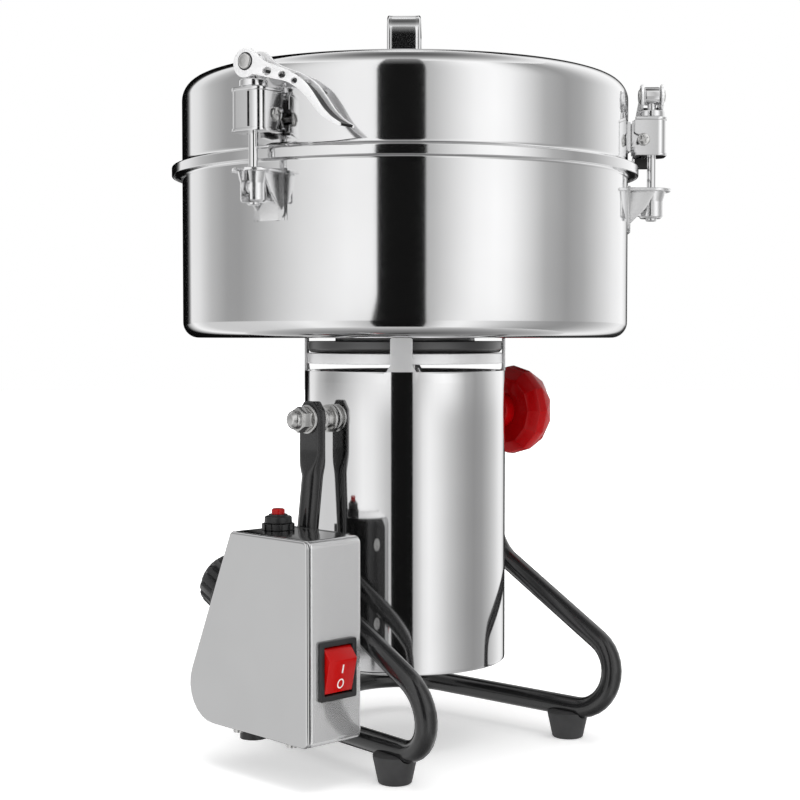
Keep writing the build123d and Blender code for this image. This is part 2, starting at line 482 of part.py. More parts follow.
# ---------------------------------------------------------------- latches
rod = Pos(R_ROD, 0, Z_BALL) * Sphere(4.5) + ycyl(2.0, -6.1, 6.1, R_ROD, Z_BALL) + cyl(2.5, Z_BALL, Z_CAM, R_ROD, 0)
eye = xcyl(5.2, R_ROD - 4.4, R_ROD + 4.4, 0, Z_CAM)
rod = (rod + eye) - xcyl(2.03, R_ROD - 6, R_ROD + 6, 0, Z_CAM)

def sleeve_outline(grow, u0=132.6):
    """The sleeve seen from above, in (u, y), grown by a margin on its three free sides."""
    u1, h, r = 151.2 + grow, 10.2 + grow, 5.2 + grow
    k = r * (1 - sin(radians(45)))
    return [((u0, -h), (u1 - r, -h)), ((u1 - r, -h), (u1 - k, -h + k), (u1, -h + r)), ((u1, -h + r), (u1, h - r)),
            ((u1, h - r), (u1 - k, h - k), (u1 - r, h)), ((u1 - r, h), (u0, h)), ((u0, h), (u0, -h))]


barrel = extrude(Plane.XY.offset(342.4) * curve_face(Plane.XY, sleeve_outline(0.0)), amount=22.0) \
    + extrude(Plane.XY.offset(342.4) * curve_face(Plane.XY, sleeve_outline(0.55, 133.4)), amount=1.7) \
    + extrude(Plane.XY.offset(362.9) * curve_face(Plane.XY, sleeve_outline(0.55, 133.4)), amount=1.7) \
    + cyl(6.7, 364.5, 365.3, R_ROD, 0) + cyl(7.4, 365.3, 369.0, R_ROD, 0)
barrel = barrel - box(130, 140.7, -7.3, 7.3, 340, 364.61) - cyl(2.52, 335, 375, R_ROD, 0)
# the hook: open toward the lid, its upper wall rising inward
RAMP = 24.0
rr = PIN_R + 0.08
nx, nz = sin(radians(RAMP)), cos(radians(RAMP))
p_up = (PIN_U + rr * nx, PIN_Z + rr * nz)
L = 12.0
p_in = (p_up[0] - L * nz, p_up[1] + L * nx)
hook = poly_prism(Plane.XZ.offset(-20), [
    (PIN_U, PIN_Z - rr), (PIN_U, PIN_Z), p_up, p_in, (p_in[0], PIN_Z - rr - 4.0)], 40)
hook = hook + ycyl(rr, -20, 20, PIN_U, PIN_Z)
barrel = barrel - hook
barrel = barrel.solids().sort_by(SortBy.VOLUME)[-1]

TOPE = [(3.0, 383.9), (6.4, 381.6), (8.9, 379.0), (12.7, 376.4), (19.0, 373.8), (25.2, 371.5), (31.4, 368.2), (36.3, 364.8), (40.0, 360.8), (43.6, 356.2), (47.2, 351.4), (51.4, 347.2), (55.0, 344.6), (58.5, 342.7)]
LOWE = [(58.0, 341.0), (55.0, 342.3), (49.6, 345.3), (44.8, 348.9), (41.2, 353.0), (37.5, 357.2), (31.4, 362.1), (25.2, 365.4), (17.7, 367.4), (11.4, 369.0), (7.2, 370.4), (5.2, 371.0)]
arm_face = make_face(Polyline(*TOPE, *LOWE, (0, Z_CAM - 1), close=True))
hub = Pos(-0.3, Z_CAM - 0.8) * Circle(7.4)
cheek = (arm_face + hub) - Pos(0, Z_CAM) * Circle(2.03)
for (ht, hz, hr) in [(13.6, 371.5, 2.2), (23.0, 368.9, 1.9), (30.6, 365.3, 1.6)]:
    cheek = cheek - Pos(ht, hz) * Circle(hr)
SIDE = Plane(origin=(R_ROD, 0, 0), x_dir=(0, 1, 0), z_dir=(1, 0, 0))
c_out = extrude(SIDE.offset(5.0) * cheek, amount=1.5)
c_in = extrude(SIDE.offset(-6.5) * cheek, amount=1.5)
# the web between the cheeks lies below their upper edges, so that the arm is a channel open at its top
WTOP = [(12.0, 372.6), (19.0, 370.6), (25.2, 368.4), (31.0, 365.6), (35.2, 362.2), (38.8, 358.4), (42.3, 354.0), (45.8, 350.2), (49.9, 346.9), (54.5, 344.2), (58.5, 342.7)]
WLOW = [(58.0, 341.0), (54.2, 342.7), (49.2, 345.6), (44.9, 349.1), (41.3, 353.0), (37.7, 357.3), (34.0, 361.0), (30.1, 364.2), (24.8, 366.8), (18.6, 368.9), (12.0, 370.8)]
web = extrude(SIDE.offset(-6.0) * make_face(Polyline(*WTOP, *WLOW, close=True)), amount=12.0)
lever = c_out + c_in + web
campin = xcyl(2.0, R_ROD - 7.4, R_ROD + 7.4, 0, Z_CAM) + xcyl(4.5, R_ROD + 6.52, R_ROD + 8.0, 0, Z_CAM) + xcyl(4.5, R_ROD - 7.6, R_ROD - 6.52, 0, Z_CAM)
for i, phi in enumerate(LATCH_PHI, 1):
    nodes["latch_rod_%d" % i] = at_phi(rod, phi)
    nodes["latch_barrel_%d" % i] = at_phi(barrel, phi)
    nodes["latch_lever_%d" % i] = at_phi(lever, phi)
    nodes["latch_pin_%d" % i] = at_phi(campin, phi)

# ---------------------------------------------------------------- clamp knob
prof = [(0, 76.5), (11, 76.5), (11, 84), (21, 84.8), (27, 89.5), (28, 95), (27, 101), (20, 107), (12, 109.6), (0, 109.6)]
ck = revolve(Plane.XZ * make_face(Polyline(*[(r, x) for (r, x) in prof], close=True)), Axis.Z)
ck = ck & extrude(Plane.XY.offset(70) * RegularPolygon(28, 12, rotation=15), amount=50)
ck = ck - Cylinder(4.03, 105.2 - 70, align=(Align.CENTER, Align.CENTER, Align.MIN)).moved(Location((0, 0, 70)))
nodes["clamp_knob"] = Pos(0, 0, TILT_Z) * Rot(0, 90, 0) * ck

# ---------------------------------------------------------------- export
move = Pos(SHIFT[0], SHIFT[1], 0)
lo, hi = [1e9] * 3, [-1e9] * 3
for name, thing in nodes.items():
    things = thing if isinstance(thing, list) else [thing]
    solids = []
    for t in things:
        solids += [move * s for s in t.solids()]
    c = Compound(children=solids) if len(solids) > 1 else Compound(children=[solids[0]])
    c.label = name
    export_step(c, "parts/%s.step" % name)
    bb = c.bounding_box()
    for i, (a, b) in enumerate(((bb.min.X, bb.max.X), (bb.min.Y, bb.max.Y), (bb.min.Z, bb.max.Z))):
        lo[i], hi[i] = min(lo[i], a), max(hi[i], b)
    print(name, len(solids), [round(s.volume) for s in solids])
print("nodes", len(nodes), "low", [round(v, 2) for v in lo], "high", [round(v, 2) for v in hi])
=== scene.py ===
import bpy
import bmesh
import json
import math
from math import sin, cos, tan, atan2, radians, pi, sqrt
from mathutils import Vector, Matrix


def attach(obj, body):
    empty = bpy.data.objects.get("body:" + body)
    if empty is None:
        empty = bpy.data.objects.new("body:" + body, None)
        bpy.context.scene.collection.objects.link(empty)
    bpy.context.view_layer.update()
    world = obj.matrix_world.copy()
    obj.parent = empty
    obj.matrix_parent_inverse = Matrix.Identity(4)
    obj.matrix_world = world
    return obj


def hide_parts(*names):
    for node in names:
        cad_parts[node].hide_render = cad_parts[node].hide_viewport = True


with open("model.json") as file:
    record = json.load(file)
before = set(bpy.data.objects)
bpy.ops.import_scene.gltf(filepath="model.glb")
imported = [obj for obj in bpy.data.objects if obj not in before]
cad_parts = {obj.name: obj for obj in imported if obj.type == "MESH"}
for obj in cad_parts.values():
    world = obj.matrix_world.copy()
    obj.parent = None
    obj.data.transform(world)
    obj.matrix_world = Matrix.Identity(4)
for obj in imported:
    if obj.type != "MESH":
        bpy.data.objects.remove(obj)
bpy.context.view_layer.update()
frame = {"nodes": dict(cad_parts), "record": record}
scene = bpy.context.scene

# Everything below is drawn in millimetres about the motor axis and placed in the row frame.
SX, SY = 2.87, -12.54
PLACE = Matrix.Translation((SX * 0.001, SY * 0.001, 0)) @ Matrix.Scale(0.001, 4)


def W(x, y, z):
    return Vector(((x + SX) * 0.001, (y + SY) * 0.001, z * 0.001))


# ------------------------------------------------------------------ materials
class Mat:
    def __init__(self, name):
        self.m = bpy.data.materials.new(name)
        self.m.use_nodes = True
        self.t = self.m.node_tree
        self.b = next(n for n in self.t.nodes if n.type == "BSDF_PRINCIPLED")
        self.co = self.t.nodes.new("ShaderNodeTexCoord").outputs["Object"]

    def node(self, kind, **values):
        n = self.t.nodes.new(kind)
        for k, v in values.items():
            setattr(n, k, v)
        return n

    def link(self, a, b):
        self.t.links.new(a, b)

    def mapped(self, scale=(1, 1, 1), rot=(0, 0, 0), source=None):
        n = self.node("ShaderNodeMapping")
        self.link(source or self.co, n.inputs["Vector"])
        n.inputs["Scale"].default_value = scale
        n.inputs["Rotation"].default_value = rot
        return n.outputs["Vector"]

    def noise(self, scale, detail=4.0, rough=0.55, vec=None, distortion=0.0):
        n = self.node("ShaderNodeTexNoise")
        self.link(vec or self.co, n.inputs["Vector"])
        n.inputs["Scale"].default_value = scale
        n.inputs["Detail"].default_value = detail
        n.inputs["Roughness"].default_value = rough
        n.inputs["Distortion"].default_value = distortion
        return n.outputs["Fac"]

    def ramp(self, fac, stops, interp="LINEAR"):
        n = self.node("ShaderNodeValToRGB")
        n.color_ramp.interpolation = interp
        e = n.color_ramp.elements
        while len(e) > 1:
            e.remove(e[-1])
        for i, (p, c) in enumerate(stops):
            c = (c, c, c) if not hasattr(c, "__len__") else c
            el = e[0] if i == 0 else e.new(p)
            el.position = p
            el.color = (*c, 1)
        self.link(fac, n.inputs["Fac"])
        return n.outputs["Color"]

    def remap(self, fac, lo, hi, f0=0.3, f1=0.7):
        n = self.node("ShaderNodeMapRange")
        self.link(fac, n.inputs["Value"])
        n.inputs["From Min"].default_value = f0
        n.inputs["From Max"].default_value = f1
        n.inputs["To Min"].default_value = lo
        n.inputs["To Max"].default_value = hi
        return n.outputs["Result"]

    def math(self, op, a, b=None):
        n = self.node("ShaderNodeMath", operation=op)
        for i, v in enumerate((a, b)):
            if v is None:
                continue
            if isinstance(v, (int, float)):
                n.inputs[i].default_value = v
            else:
                self.link(v, n.inputs[i])
        return n.outputs[0]

    def bump(self, height, strength, distance, after=None):
        n = self.node("ShaderNodeBump")
        n.inputs["Strength"].default_value = strength
        n.inputs["Distance"].default_value = distance
        self.link(height, n.inputs["Height"])
        if after is not None:
            self.link(after, n.inputs["Normal"])
        return n.outputs["Normal"]

    def set(self, **values):
        for k, v in values.items():
            s = self.b.inputs[k.replace("_", " ")]
            if hasattr(v, "node"):
                self.link(v, s)
            else:
                s.default_value = (*v, 1) if hasattr(v, "__len__") and len(v) == 3 else v
        return self.m

    def edge_wear(self, amount=0.35):
        """0 on flats, up to 1 along convex edges."""
        g = self.node("ShaderNodeNewGeometry")
        return self.remap(g.outputs["Pointiness"], 0.0, amount, 0.52, 0.62)


def steel(name, low, high, rough, streak, streak_rough, bump=0.03, grain=2600.0, tint=(1.0, 1.0, 1.005)):
    """Rolled or spun stainless: slow tone drift, fine grain lines, faint handling marks in the gloss."""
    k = Mat(name)
    slow = k.noise(14.0, 3.0)
    lines = k.noise(1.0, 3.0, 0.6, k.mapped(streak))
    col = k.ramp(slow, [(0.3, tuple(low * t for t in tint)), (0.7, tuple(high * t for t in tint))])
    marks = k.noise(55.0, 6.0, 0.65, distortion=0.6)
    r = k.math("ADD", k.remap(lines, rough - streak_rough, rough + streak_rough), k.remap(marks, 0.0, streak_rough * 0.8, 0.52, 0.75))
    n = k.bump(lines, bump, 0.00004)
    return k.set(Base_Color=col, Metallic=1.0, Roughness=r, Normal=n, Specular_IOR_Level=0.5)


M = {}
M["mirror_steel"] = steel("mirror_steel", 0.80, 0.845, 0.085, (900, 900, 2600), 0.014, bump=0.012)
M["tube_steel"] = steel("tube_steel", 0.80, 0.845, 0.075, (700, 700, 1500), 0.014, bump=0.012)
M["satin_steel"] = steel("satin_steel", 0.74, 0.80, 0.27, (2400, 2400, 60), 0.04, bump=0.06)
M["strap_steel"] = steel("strap_steel", 0.80, 0.85, 0.11, (900, 900, 2600), 0.02, bump=0.008)
M["box_steel"] = steel("box_steel", 0.69, 0.73, 0.11, (2600, 2600, 90), 0.018, bump=0.012)
M["sleeve_steel"] = steel("sleeve_steel", 0.82, 0.88, 0.13, (1200, 1200, 2600), 0.02, bump=0.008)
M["keeper_steel"] = steel("keeper_steel", 0.80, 0.87, 0.17, (900, 900, 900), 0.03, bump=0.01)
# a lighter, less metallic copy of the box steel for the tray's front face: painted light
M["front_lit_steel"] = steel("front_lit_steel", 0.86, 0.90, 0.12, (2600, 2600, 90), 0.018, bump=0.008)
# near-black steel for the pad under the bowl: painted shade
M["neck_steel"] = steel("neck_steel", 0.11, 0.14, 0.34, (900, 900, 2600), 0.04, bump=0.02)
M["rim_steel"] = steel("rim_steel", 0.80, 0.88, 0.34, (900, 900, 2600), 0.04, bump=0.02)
# a rougher, half-metallic copy of the tube steel for the motor tabs, so they read light grey: painted light
M["tab_lit_steel"] = steel("tab_lit_steel", 0.72, 0.78, 0.46, (1800, 1800, 1800), 0.06, bump=0.06)
M["zinc_steel"] = steel("zinc_steel", 0.60, 0.72, 0.22, (1500, 1500, 1500), 0.05, bump=0.08, tint=(1.0, 0.995, 0.98))
M["lever_steel"] = steel("lever_steel", 0.92, 0.97, 0.30, (700, 700, 2200), 0.03, bump=0.004)
# near-black steel for the channel of the lever: painted shade between its cheeks
M["channel_shade_steel"] = steel("channel_shade_steel", 0.035, 0.065, 0.40, (700, 700, 700), 0.05, bump=0.05)
# lower metallic lets a face read lighter; on the front and tab copies this is painted light
for k, v in (("lever_steel", 0.5), ("keeper_steel", 0.92), ("front_lit_steel", 0.76), ("rim_steel", 0.5), ("tab_lit_steel", 0.6)):
    M[k].node_tree.nodes["Principled BSDF"].inputs["Metallic"].default_value = v


def enamel():
    k = Mat("black_enamel")
    slow = k.noise(9.0, 2.0)
    peel = k.noise(420.0, 2.0, 0.5)
    dust = k.noise(1600.0, 2.0, 0.7)
    col = k.ramp(slow, [(0.3, (0.0075, 0.0075, 0.008)), (0.7, (0.014, 0.014, 0.0145))])
    r = k.math("ADD", k.remap(peel, 0.16, 0.24), k.remap(dust, 0.0, 0.06, 0.55, 0.8))
    n = k.bump(peel, 0.10, 0.0002)
    k.b.inputs["Coat Weight"].default_value = 0.45
    k.b.inputs["Coat Roughness"].default_value = 0.08
    return k.set(Base_Color=col, Roughness=r, Normal=n, Specular_IOR_Level=0.5)


def rubber():
    k = Mat("black_rubber")
    blotch = k.noise(60.0, 4.0)
    grain = k.noise(1900.0, 4.0, 0.7)
    col = k.ramp(blotch, [(0.3, (0.030, 0.030, 0.031)), (0.7, (0.052, 0.052, 0.053))])
    r = k.math("ADD", k.remap(grain, 0.50, 0.68), k.remap(blotch, -0.05, 0.05))
    n = k.bump(grain, 0.30, 0.00012)
    return k.set(Base_Color=col, Roughness=r, Normal=n, Specular_IOR_Level=0.45)


def plastic(name, lo, hi, rough, texture=1700.0, tex_bump=0.16, coat=0.0):
    k = Mat(name)
    slow = k.noise(30.0, 3.0)
    tex = k.noise(texture, 3.0, 0.65)
    col = k.ramp(slow, [(0.3, lo), (0.7, hi)])
    r = k.math("ADD", k.remap(tex, rough - 0.04, rough + 0.05), k.remap(slow, -0.02, 0.02))
    n = k.bump(tex, tex_bump, 0.00008)
    if coat:
        k.b.inputs["Coat Weight"].default_value = coat
        k.b.inputs["Coat Roughness"].default_value = 0.05
    return k.set(Base_Color=col, Roughness=r, Normal=n)


M["black_enamel"] = enamel()
M["black_rubber"] = rubber()
M["black_plastic"] = plastic("black_plastic", (0.012, 0.012, 0.0125), (0.020, 0.020, 0.021), 0.36)
M["knob_plastic"] = plastic("knob_plastic", (0.009, 0.009, 0.0095), (0.015, 0.015, 0.016), 0.26, 900.0, 0.08, 0.2)
M["bezel_plastic"] = plastic("bezel_plastic", (0.016, 0.016, 0.017), (0.026, 0.026, 0.027), 0.33)
M["red_gloss"] = plastic("red_gloss", (0.33, 0.0006, 0.0018), (0.40, 0.0009, 0.0024), 0.17, 300.0, 0.03, 0.0)
M["red_gloss"].node_tree.nodes["Principled BSDF"].inputs["Specular IOR Level"].default_value = 0.22
M["red_rocker"] = plastic("red_rocker", (0.40, 0.0022, 0.002), (0.47, 0.003, 0.0026), 0.20, 500.0, 0.03, 0.0)
M["red_rocker"].node_tree.nodes["Principled BSDF"].inputs["Specular IOR Level"].default_value = 0.3
M["white_print"] = plastic("white_print", (0.72, 0.72, 0.70), (0.84, 0.84, 0.82), 0.45, 1500.0, 0.1)


def silicone():
    k = Mat("silicone")
    slow = k.noise(40.0, 3.0)
    tex = k.noise(900.0, 3.0)
    col = k.ramp(slow, [(0.3, (0.70, 0.70, 0.68)), (0.7, (0.80, 0.80, 0.78))])
    k.b.inputs["Subsurface Weight"].default_value = 0.15
    k.b.inputs["Subsurface Radius"].default_value = (0.002, 0.002, 0.002)
    return k.set(Base_Color=col, Roughness=k.remap(tex, 0.42, 0.55), Normal=k.bump(tex, 0.1, 0.0001))


def cast():
    k = Mat("cast_aluminium")
    slow = k.noise(35.0, 4.0)
    grit = k.noise(1100.0, 6.0, 0.7)
    col = k.ramp(slow, [(0.3, (0.40, 0.40, 0.41)), (0.7, (0.52, 0.52, 0.53))])
    return k.set(Base_Color=col, Metallic=1.0, Roughness=k.remap(grit, 0.40, 0.58), Normal=k.bump(grit, 0.35, 0.0002))


def core():
    k = Mat("iron_core")
    v = k.mapped((1, 1, 1))
    sep = k.node("ShaderNodeSeparateXYZ")
    k.link(v, sep.inputs[0])
    lam = k.math("SINE", k.math("MULTIPLY", sep.outputs["Z"], 2 * pi / 0.0005))
    slow = k.noise(50.0, 4.0)
    col = k.ramp(slow, [(0.3, (0.16, 0.155, 0.15)), (0.7, (0.27, 0.265, 0.26))])
    return k.set(Base_Color=col, Metallic=0.9, Roughness=k.remap(slow, 0.38, 0.52), Normal=k.bump(lam, 0.25, 0.0001))


def copper():
    k = Mat("copper")
    v = k.mapped((1, 1, 1))
    sep = k.node("ShaderNodeSeparateXYZ")
    k.link(v, sep.inputs[0])
    wires = k.math("SINE", k.math("MULTIPLY", k.math("ADD", sep.outputs["Z"], k.math("MULTIPLY", sep.outputs["X"], 0.15)), 2 * pi / 0.0009))
    slow = k.noise(90.0, 4.0)
    col = k.ramp(slow, [(0.3, (0.55, 0.20, 0.07)), (0.7, (0.72, 0.30, 0.12))])
    return k.set(Base_Color=col, Metallic=1.0, Roughness=k.remap(slow, 0.26, 0.40), Normal=k.bump(wires, 0.6, 0.0003))


M["silicone"] = silicone()
M["cast_aluminium"] = cast()
M["iron_core"] = core()
M["copper"] = copper()

# CAD nodes that stay take the material of their slot in the record
SLOT = {p["node"]: p["material_slot"] for p in frame["record"]["subparts"]}
for node, ob in frame["nodes"].items():
    me = ob.data
    me.materials.clear()
    me.materials.append(M[SLOT[node]])
    for p in me.polygons:
        p.material_index = 0
        p.use_smooth = True
    me.set_sharp_from_angle(angle=radians(32))


# ------------------------------------------------------------------ mesh helpers
def piece(name, bm, mats, body, replaces=(), smooth=32.0, weld=True):
    """Turns a bmesh in millimetres about the motor axis into a piece of the object."""
    if weld:
        bmesh.ops.remove_doubles(bm, verts=bm.verts, dist=2e-4)
    bmesh.ops.recalc_face_normals(bm, faces=bm.faces)
    bm.transform(PLACE)
    me = bpy.data.meshes.new(name)
    bm.to_mesh(me)
    bm.free()
    for m in (mats if isinstance(mats, (list, tuple)) else [mats]):
        me.materials.append(M[m])
    for p in me.polygons:
        p.use_smooth = True
    me.set_sharp_from_angle(angle=radians(smooth))
    ob = bpy.data.objects.new(name, me)
    scene.collection.objects.link(ob)
    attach(ob, body)
    if replaces:
        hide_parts(*replaces)
    return ob


def rounded(pts, seg=5, closed=True):
    """2D outline with its corners rounded: each point is (a, b) or (a, b, radius)."""
    out, n = [], len(pts)
    for i, p in enumerate(pts):
        r = p[2] if len(p) > 2 else 0.0
        if r <= 0 or (not closed and i in (0, n - 1)):
            out.append((p[0], p[1]))
            continue
        a, b, c = Vector(pts[i - 1][:2]), Vector(p[:2]), Vector(pts[(i + 1) % n][:2])
        la, lc = (a - b).length, (c - b).length
        u, v = (a - b) / la, (c - b) / lc
        half = math.acos(max(-1.0, min(1.0, u.dot(v)))) / 2
        if half > pi / 2 - 0.01:
            out.append((b.x, b.y))
            continue
        t = min(r / tan(half), la * 0.499, lc * 0.499)
        rr = t * tan(half)
        cen = b + (u + v).normalized() * (rr / sin(half))
        s, e = b + u * t - cen, b + v * t - cen
        a0, a1 = atan2(s.y, s.x), atan2(e.y, e.x)
        d = (a1 - a0 + pi) % (2 * pi) - pi
        for k in range(seg + 1):
            w = a0 + d * k / seg
            out.append((cen.x + rr * cos(w), cen.y + rr * sin(w)))
    return out


def turn(bm, prof, n=96, closed=True, mat=0, T=None, a0=0.0, a1=360.0):
    """A solid of revolution about Z from a profile of (r, z); a1 - a0 under 360 leaves it open."""
    T = T or Matrix.Identity(4)
    full = abs(a1 - a0 - 360.0) < 1e-6
    m = n if full else n + 1
    rings = []
    for r, z in prof:
        if abs(r) < 1e-6:
            rings.append([bm.verts.new(T @ Vector((0, 0, z)))])
        else:
            rings.append([bm.verts.new(T @ Vector((r * cos(radians(a0 + (a1 - a0) * i / n)), r * sin(radians(a0 + (a1 - a0) * i / n)), z))) for i in range(m)])
    pairs = list(zip(rings, rings[1:])) + ([(rings[-1], rings[0])] if closed else [])
    for A, B in pairs:
        if len(A) == 1 and len(B) == 1:
            continue
        for i in range(n):
            j = (i + 1) % m
            vs = [A[0], B[i], B[j]] if len(A) == 1 else [A[i], A[j], B[0]] if len(B) == 1 else [A[i], A[j], B[j], B[i]]
            f = bm.faces.new(vs)
            f.material_index = mat
    return bm


def along(origin, z, x=None):
    """A frame at origin with its Z along z, and X as near as can be to x."""
    z = Vector(z).normalized()
    x = Vector(x) if x is not None else (Vector((1, 0, 0)) if abs(z.x) < 0.9 else Vector((0, 1, 0)))
    x = (x - z * x.dot(z)).normalized()
    y = z.cross(x)
    return Matrix(((x.x, y.x, z.x, origin[0]), (x.y, y.y, z.y, origin[1]), (x.z, y.z, z.z, origin[2]), (0, 0, 0, 1)))


def prism(bm, pts, z0, z1, bevel=0.0, seg=2, T=None, mat=0, edges="all"):
    """A straight extrusion of a 2D outline between z0 and z1, its edges rounded."""
    T = T or Matrix.Identity(4)
    lo = [bm.verts.new(T @ Vector((x, y, z0))) for x, y in pts]
    hi = [bm.verts.new(T @ Vector((x, y, z1))) for x, y in pts]
    n = len(pts)
    caps = [bm.faces.new(list(reversed(lo))), bm.faces.new(hi)]
    sides = [bm.faces.new((lo[i], lo[(i + 1) % n], hi[(i + 1) % n], hi[i])) for i in range(n)]
    for f in caps + sides:
        f.material_index = mat
    if bevel > 0:
        bmesh.ops.recalc_face_normals(bm, faces=caps + sides)
        if edges == "all":
            es = set(e for f in caps + sides for e in f.edges)
            es = [e for e in es if len(e.link_faces) == 2 and e.calc_face_angle(0) > radians(20)]
        else:
            es = list(set(e for f in caps for e in f.edges))
        bmesh.ops.bevel(bm, geom=es, offset=bevel, offset_type="OFFSET", segments=seg, profile=0.5, affect="EDGES", clamp_overlap=True)
    return bm


def block(bm, x0, x1, y0, y1, z0, z1, bevel=0.3, seg=2, T=None, mat=0):
    return prism(bm, [(x0, y0), (x1, y0), (x1, y1), (x0, y1)], z0, z1, bevel, seg, T, mat)


def fillet3(pts, radii, seg=10):
    """A 3D polyline with rounded corners."""
    out = [Vector(pts[0])]
    for i, r in enumerate(radii):
        a, b, c = Vector(pts[i]), Vector(pts[i + 1]), Vector(pts[i + 2])
        u, v = (a - b).normalized(), (c - b).normalized()
        half = math.acos(max(-1.0, min(1.0, u.dot(v)))) / 2
        if r <= 0:
            out.append(b)
            continue
        t = r / tan(half)
        cen = b + (u + v).normalized() * (r / sin(half))
        s, e = b + u * t - cen, b + v * t - cen
        total = s.angle(e)
        ax = s.cross(e).normalized()
        for k in range(seg + 1):
            out.append(cen + Matrix.Rotation(total * k / seg, 3, ax) @ s)
    out.append(Vector(pts[-1]))
    return out


def densify(path, step):
    out = [path[0]]
    for a, b in zip(path, path[1:]):
        n = max(1, int(math.ceil((b - a).length / step)))
        out += [a.lerp(b, k / n) for k in range(1, n + 1)]
    return out


def sweep(bm, path, section, up=None, cap=True, closed=False, mat=0):
    """section: 2D points (u, v) carried along the path; section may be a function of the share of its length."""
    n = len(path)
    tans = []
    for i in range(n):
        if closed:
            a, b = path[i - 1], path[(i + 1) % n]
        else:
            a, b = path[max(0, i - 1)], path[min(n - 1, i + 1)]
        tans.append((b - a).normalized())
    up = Vector(up) if up is not None else (Vector((0, 0, 1)) if abs(tans[0].z) < 0.9 else Vector((1, 0, 0)))
    u = (up - tans[0] * up.dot(tans[0])).normalized()
    rings, run = [], 0.0
    total = sum((b - a).length for a, b in zip(path, path[1:])) or 1.0
    for i in range(n):
        if i:
            q = tans[i - 1].rotation_difference(tans[i])
            u = q @ u
            u = (u - tans[i] * u.dot(tans[i])).normalized()
            run += (path[i] - path[i - 1]).length
        v = tans[i].cross(u)
        sec = section(run / total) if callable(section) else section
        rings.append([bm.verts.new(path[i] + u * a + v * b) for a, b in sec])
    m = len(rings[0])
    pairs = list(zip(rings, rings[1:])) + ([(rings[-1], rings[0])] if closed else [])
    for A, B in pairs:
        for i in range(m):
            f = bm.faces.new((A[i], A[(i + 1) % m], B[(i + 1) % m], B[i]))
            f.material_index = mat
    if cap and not closed:
        bm.faces.new(list(reversed(rings[0]))).material_index = mat
        bm.faces.new(rings[-1]).material_index = mat
    return rings


def circle(r, n=24):
    return [(r * cos(2 * pi * i / n), r * sin(2 * pi * i / n)) for i in range(n)]


def signed_area(loop):
    return 0.5 * sum(a[0] * b[1] - b[0] * a[1] for a, b in zip(loop, loop[1:] + loop[:1]))


def plate(bm, outer, holes, z0, z1, bevel=0.2, seg=2, T=None, mat=0):
    """A flat plate with holes and rounded edges, from 2D loops, between z0 and z1."""
    T = T or Matrix.Identity(4)
    bevel = min(bevel, (z1 - z0) * 0.49)
    cu = bpy.data.curves.new("scratch", "CURVE")
    cu.dimensions = "2D"
    cu.fill_mode = "BOTH"
    loops = [list(outer) if signed_area(list(outer)) < 0 else list(reversed(outer))]
    loops += [list(h) if signed_area(list(h)) > 0 else list(reversed(h)) for h in holes]
    for loop in loops:
        sp = cu.splines.new("POLY")
        sp.points.add(len(loop) - 1)
        for q, (x, y) in zip(sp.points, loop):
            q.co = (x, y, 0, 1)
        sp.use_cyclic_u = True
    cu.extrude = (z1 - z0) / 2 - bevel
    cu.bevel_depth = bevel
    cu.bevel_resolution = seg
    cu.offset = -bevel
    ob = bpy.data.objects.new("scratch", cu)
    me = bpy.data.meshes.new_from_object(ob)
    tmp = bmesh.new()
    tmp.from_mesh(me)
    bmesh.ops.remove_doubles(tmp, verts=tmp.verts, dist=1e-4)
    tmp.transform(T @ Matrix.Translation((0, 0, (z0 + z1) / 2)))
    bpy.data.objects.remove(ob)
    bpy.data.curves.remove(cu)
    bpy.data.meshes.remove(me)
    join(bm, tmp, mat)
    return bm


def join(bm, other, mat=None, T=None):
    """Adds other's geometry to bm and frees other."""
    vs = {}
    for v in other.verts:
        vs[v] = bm.verts.new(T @ v.co if T is not None else v.co)
    for f in other.faces:
        try:
            g = bm.faces.new([vs[v] for v in f.verts])
        except ValueError:
            continue
        g.material_index = f.material_index if mat is None else mat
    other.free()
    return bm


def spun(bm, T):
    """A copy of bm moved by T."""
    c = bm.copy()
    c.transform(T)
    return c


def phi_rot(phi):
    return Matrix.Rotation(radians(phi), 4, "Z")


def carve(bm, cutters, solver="EXACT"):
    """bm minus each cutter, by boolean. Frees the cutters."""
    me = bpy.data.meshes.new("scratch_a")
    bmesh.ops.recalc_face_normals(bm, faces=bm.faces)
    bm.to_mesh(me)
    bm.free()
    ob = bpy.data.objects.new("scratch_a", me)
    scene.collection.objects.link(ob)
    extra = []
    for c in cutters:
        bmesh.ops.recalc_face_normals(c, faces=c.faces)
        cm = bpy.data.meshes.new("scratch_b")
        c.to_mesh(cm)
        c.free()
        co = bpy.data.objects.new("scratch_b", cm)
        scene.collection.objects.link(co)
        md = ob.modifiers.new("cut", "BOOLEAN")
        md.operation = "DIFFERENCE"
        md.solver = solver
        md.object = co
        extra.append((co, cm))
    dg = bpy.context.evaluated_depsgraph_get()
    dg.update()
    res = bpy.data.meshes.new_from_object(ob.evaluated_get(dg))
    out = bmesh.new()
    out.from_mesh(res)
    bpy.data.meshes.remove(res)
    bpy.data.objects.remove(ob)
    bpy.data.meshes.remove(me)
    for co, cm in extra:
        bpy.data.objects.remove(co)
        bpy.data.meshes.remove(cm)
    return out


def fresh():
    return bmesh.new()


